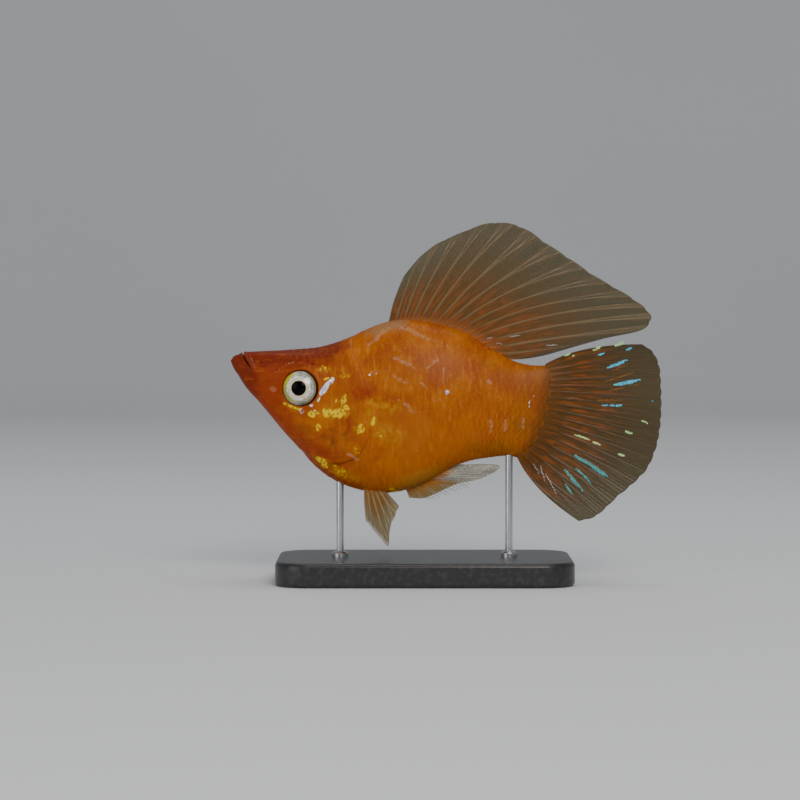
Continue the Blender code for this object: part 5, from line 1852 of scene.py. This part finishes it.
@dataclass
class FleckSet:
    """The glints on the tail fin and the sail: rows of low, smooth, rounded plates on both faces."""

    steps: int = 8
    across: int = 8
    crown: float = 0.04
    stands_out: float = 0.015
    depth: float = 0.05

    def plates(self, glints: Glints, grid: dict[str, Array]) -> MeshParts:
        """The joined plates of some glints.

        Args:
            glints: the glints.
            grid: the fin's sheet that they lie on.

        Returns:
            Their mesh.
        """
        rng = np.random.default_rng(23)
        spots = np.stack([grid["back"].ravel(), grid["up"].ravel()], -1)
        outs, halves = grid["out"].ravel(), grid["half"].ravel()
        rows, columns = self.steps + 1, self.across + 1
        t, w = np.meshgrid(np.linspace(-1, 1, rows), np.linspace(-1, 1, columns), indexing="ij")
        long_part, wide_part = t * np.sqrt(1 - 0.45 * w**2), w * np.sqrt(1 - 0.45 * t**2)
        crown = self.crown * np.clip(1 - np.maximum(t**2, w**2), 0, 1).ravel() ** 0.5
        closed = plate_faces(rows, columns)
        pieces, faces = [], []
        for *ends, width in glints.flecks:
            start, run = np.array(ends[:2]), np.array(ends[2:]) - ends[:2]
            long = float(np.linalg.norm(run))
            ahead, side = run / long, np.array([-run[1], run[0]]) / long
            count = max(1, round(long / glints.pitch))
            for k in range(count):
                place = (k + 0.5) / count
                wide = width * (0.45 + 0.55 * math.sin(math.pi * place)) * rng.uniform(0.82, 1.1)
                middle = start + run * place + side * rng.normal(0, 0.03)
                flat = middle + (long_part * long / count / 2 * glints.fill)[..., None] * ahead
                back, up = (flat + (wide_part * wide / 2)[..., None] * side).reshape(-1, 2).T
                near = np.argmin(((middle - spots) ** 2).sum(-1))
                for sign in (-1, 1):
                    levels = halves[near] + self.stands_out + crown, halves[near] - self.depth + 0 * crown
                    sheets = [np.stack([back, outs[near] + sign * level, up], -1) for level in levels]
                    piece = np.concatenate(sheets)
                    turned = closed[:, ::-1] if inwards(piece, closed) else closed
                    faces.append(turned + len(piece) * len(pieces))
                    pieces.append(piece)
        return MeshParts(np.concatenate(pieces), np.concatenate(faces))

    def build(self, fins: FinSet) -> None:
        """Makes the glints of the fins and dresses them."""
        grids = {"tail_fin": fins.tail_fin().sheet(), "dorsal_fin": fins.sail().sheet()}
        for glints in GLINTS:
            material = glints.finish.dress("glint_" + glints.label)
            parts = self.plates(glints, grids[glints.slot])
            parts.build("glints_" + glints.label, material, glints.slot, smooth_angle=60.0)


@dataclass
class Fringe:
    """The fine free ray ends below the anal fin."""

    count: int = 14
    first: Place = (39.6, -28.9)
    last: Place = (48.4, -25.4)
    length: float = 3.9
    sides: int = 8
    steps: int = 16

    def build(self, finish: Finish) -> None:
        """Makes the joined ray ends and dresses them.

        Args:
            finish: the anal fin's finish.
        """
        rng = np.random.default_rng(17)
        pieces = []
        ring = np.arange(self.sides) / self.sides * 2 * math.pi
        t = np.linspace(0, 1, self.steps + 1)[:, None]
        radius = 0.13 * (1 - 0.75 * t)
        for share in np.arange(self.count) / (self.count - 1):
            start = np.array(self.first) * (1 - share) + np.array(self.last) * share
            lean = math.radians(-32 - 10 * share + rng.normal(0, 2))
            long = self.length * (0.85 + 0.3 * rng.random())
            back = start[0] + long * (t - 0.3) * math.cos(lean) - radius * np.sin(ring) * math.sin(lean)
            up = start[1] + long * (t - 0.3) * math.sin(lean) + 0.35 * t**2
            up = up + radius * np.sin(ring) * math.cos(lean)
            pieces.append(np.stack([back, radius * np.cos(ring), up], -1).reshape(-1, 3))
        points = np.concatenate(pieces)
        size = len(pieces[0])
        first = size * np.arange(self.count)[:, None, None]
        quads = (grid_faces(self.steps + 1, self.sides, wrap=True) + first).reshape(-1, 4)
        fan = [(0, j, j + 1) for j in range(1, self.sides - 1)]
        low, high = np.arange(self.sides)[::-1], np.arange(size - self.sides, size)
        thirds = (np.concatenate([low[fan], high[fan]]) + first).reshape(-1, 3)
        if inwards(points, quads):
            quads, thirds = quads[:, ::-1], thirds[:, ::-1]
        levels = {"along": 0.6, "ray": 1.0, "share": 0.5}
        values = {label: np.full(len(points), level) for label, level in levels.items()}
        values["run"] = np.tile(np.repeat(t[:, 0] * self.length, self.sides), self.count)
        parts = MeshParts(points, quads, thirds, values)
        parts.build("anal_fin_fringe", finish.dress("fin_fringe"), "anal_fin", smooth_angle=60.0)


# The stand


@dataclass
class DisplayStand:
    """A satin base with soft edges, and two steel rods with thin collars. Its sizes are in metres."""

    corner: float = 0.007
    soft: float = 0.0009
    end_inset: float = 0.004
    corner_steps: int = 14
    edge_steps: int = 6
    rod_sides: int = 48
    collar: float = 0.0009
    ledge: float = 0.0011
    base_finish: SpeckledFinish = SpeckledFinish(
        (0.022, 0.021, 0.022), (0.06, 0.058, 0.056), 0.5, 0.36, coat=0.15
    )
    rod_finish: SpeckledFinish = SpeckledFinish(
        (0.60, 0.60, 0.61), (0.42, 0.42, 0.44), 0.5, 0.26, metallic=1.0, scale=700.0, stretch=(6.0, 6.0, 0.35)
    )

    def outline(self, half: Vector, inset: float) -> Array:
        """The base's outline, as X and Y pairs about its middle.

        Args:
            half: half its length and width.
            inset: how far the line lies inside the widest one.

        Returns:
            The points.
        """
        sides = []
        for quarter, (sx, sy) in enumerate(((1, 1), (-1, 1), (-1, -1), (1, -1))):
            turn = math.pi / 2 * (quarter + np.arange(self.corner_steps + 1) / self.corner_steps)
            x = sx * (half.x - self.corner) + (self.corner - inset) * np.cos(turn)
            y = sy * (half.y - self.corner) + (self.corner - inset) * np.sin(turn)
            sides.append(np.stack([x, y], -1))
        return np.concatenate(sides)

    def base(self) -> None:
        """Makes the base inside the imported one."""
        low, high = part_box("stand_base")
        middle, half = (low + high) / 2, (high - low) / 2
        turns = [math.pi / 2 * k / self.edge_steps for k in range(self.edge_steps + 1)]
        edge = [(self.soft * (1 - math.sin(turn)), self.soft * (1 - math.cos(turn))) for turn in turns]
        levels = [(low.z, self.end_inset)] + [(low.z + drop, inset) for drop, inset in reversed(edge)]
        levels += [(high.z - drop, inset) for drop, inset in edge] + [(high.z, self.end_inset)]
        lines = [(self.outline(half, inset) + [middle.x, middle.y], z) for z, inset in levels]
        rings = np.stack([np.column_stack([line, np.full(len(line), z)]) for line, z in lines])
        parts = ring_parts(from_frame(rings))
        material = self.base_finish.dress("satin_black")
        parts.build("stand_base_dressed", material, "stand_base", ("stand_base",), 40.0)

    def rod(self, node: str, material: bpy.types.Material) -> None:
        """Makes one rod with its collar.

        Args:
            node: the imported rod.
            material: its finish.
        """
        low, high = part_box(node)
        radius = (high.x - low.x) / 2
        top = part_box("stand_base")[1].z
        collar, ledge = radius + self.collar, top + self.ledge
        profile = (
            (radius, top - 0.001), (radius, top - 0.0002), (collar, top - 0.0002),
            (collar, top + self.ledge * 0.7), (collar - 0.0003, ledge), (radius + 0.0001, ledge),
            (radius * 0.98, ledge + 0.0001), (radius * 0.98, high.z - 0.0003), (radius * 0.9, high.z),
        )
        turn = np.arange(self.rod_sides) / self.rod_sides * 2 * math.pi
        circle = np.stack([np.cos(turn), np.sin(turn), 0 * turn], -1)
        x, y = (low.x + high.x) / 2, (low.y + high.y) / 2
        rings = np.stack([circle * r + [x, y, z] for r, z in profile])
        ring_parts(from_frame(rings)).build(node + "_dressed", material, node, (node,), 35.0)

    def build(self) -> None:
        """Makes the stand."""
        self.base()
        steel = self.rod_finish.dress("brushed_steel")
        for label in ("front", "rear"):
            self.rod("stand_rod_" + label, steel)


# The room


@dataclass
class Studio:
    """A plain pale floor that curves up behind, soft lights and the camera. Its sizes are in metres."""

    view_width: float = 0.168
    distance: float = 0.62
    elevation: float = math.radians(2.0)
    aim: Spot = (-0.00966, 0.0, 0.03795)
    sensor: float = 36.0
    bend: float = 0.5
    wall: float = 1.6
    reach: float = 0.9
    wide: float = 2.6
    below: float = 0.02
    paint: PaintFinish = PaintFinish((0.80, 0.81, 0.82))

    def floor(self) -> None:
        """Makes the floor and the backdrop as one curved sheet."""
        turns = np.linspace(0, math.pi / 2, 24)[1:]
        curve = [(self.reach + self.bend * math.sin(a), self.bend * (1 - math.cos(a))) for a in turns]
        line = [(-1.6, 0.0), (self.reach, 0.0), *curve, (self.reach + self.bend, self.wall)]
        rows = [(x, y, z) for y, z in line for x in np.linspace(-self.wide, self.wide, 5)]
        spots = from_frame(rows) - [0.0, 0.0, self.below]
        MeshParts(spots, grid_faces(len(line), 5)).build("floor", self.paint.dress("floor_pale"))

    def light(self, name: str, place: Spot, size: float, power: float, colour: Colour) -> None:
        """Makes a soft light that points at the fish.

        Args:
            name: its name.
            place: where it is.
            size: its width.
            power: its power in watts.
            colour: its colour.
        """
        data = bpy.data.lights.new(name, "AREA")
        data.shape, data.size, data.energy, data.color = "DISK", size, power, colour
        lamp = bpy.data.objects.new(name, data)
        lamp.location = place
        lamp.rotation_euler = (Vector(self.aim) - Vector(place)).to_track_quat("-Z", "Y").to_euler()
        bpy.context.scene.collection.objects.link(lamp)

    def camera(self) -> None:
        """Makes the camera at the photograph's viewing angle."""
        data = bpy.data.cameras.new("camera")
        data.sensor_width = self.sensor
        data.lens = self.sensor * self.distance / self.view_width
        data.clip_start = 0.01
        camera = bpy.data.objects.new("camera", data)
        away = Vector((0.0, -math.cos(self.elevation), math.sin(self.elevation)))
        camera.location = Vector(self.aim) + away * self.distance
        camera.rotation_euler = (-away).to_track_quat("-Z", "Y").to_euler()
        bpy.context.scene.collection.objects.link(camera)
        bpy.context.scene.camera = camera

    def build(self) -> None:
        """Makes the room."""
        self.floor()
        self.light("key", (0.22, -0.80, 0.55), 0.42, 4.2, (1.0, 0.97, 0.92))
        self.light("fill", (-0.70, -0.60, 0.22), 0.60, 1.6, (0.97, 0.98, 1.0))
        self.light("top", (0.05, 0.10, 0.90), 0.55, 2.2, (1.0, 1.0, 1.0))
        world = bpy.data.worlds.new("room")
        world.use_nodes = True
        background = world.node_tree.nodes["Background"]
        background.inputs["Color"].default_value = (0.86, 0.90, 0.95, 1.0)
        background.inputs["Strength"].default_value = 0.30
        bpy.context.scene.world = world
        self.camera()


def main() -> None:
    """Builds the dressed model, piece by piece."""
    logging.basicConfig(level=logging.INFO, format="%(message)s")
    surface = Surface(BodyForm())
    skin = Skin(surface)
    skin.build(FleshFinish())
    ScaleCoat(skin).build(FleshFinish(scaly=True))
    lens = SpeckledFinish((0.001, 0.001, 0.001), (0.003, 0.002, 0.002), 0.4, 0.12, ior=1.16)
    for side in Side:
        Eye(side, surface.form).build(IrisFinish(), lens)
    fins = FinSet(surface)
    fins.build()
    Fringe().build(fins.milky)
    FleckSet().build(fins)
    DisplayStand().build()
    Studio().build()


if __name__ == "__main__":
    main()
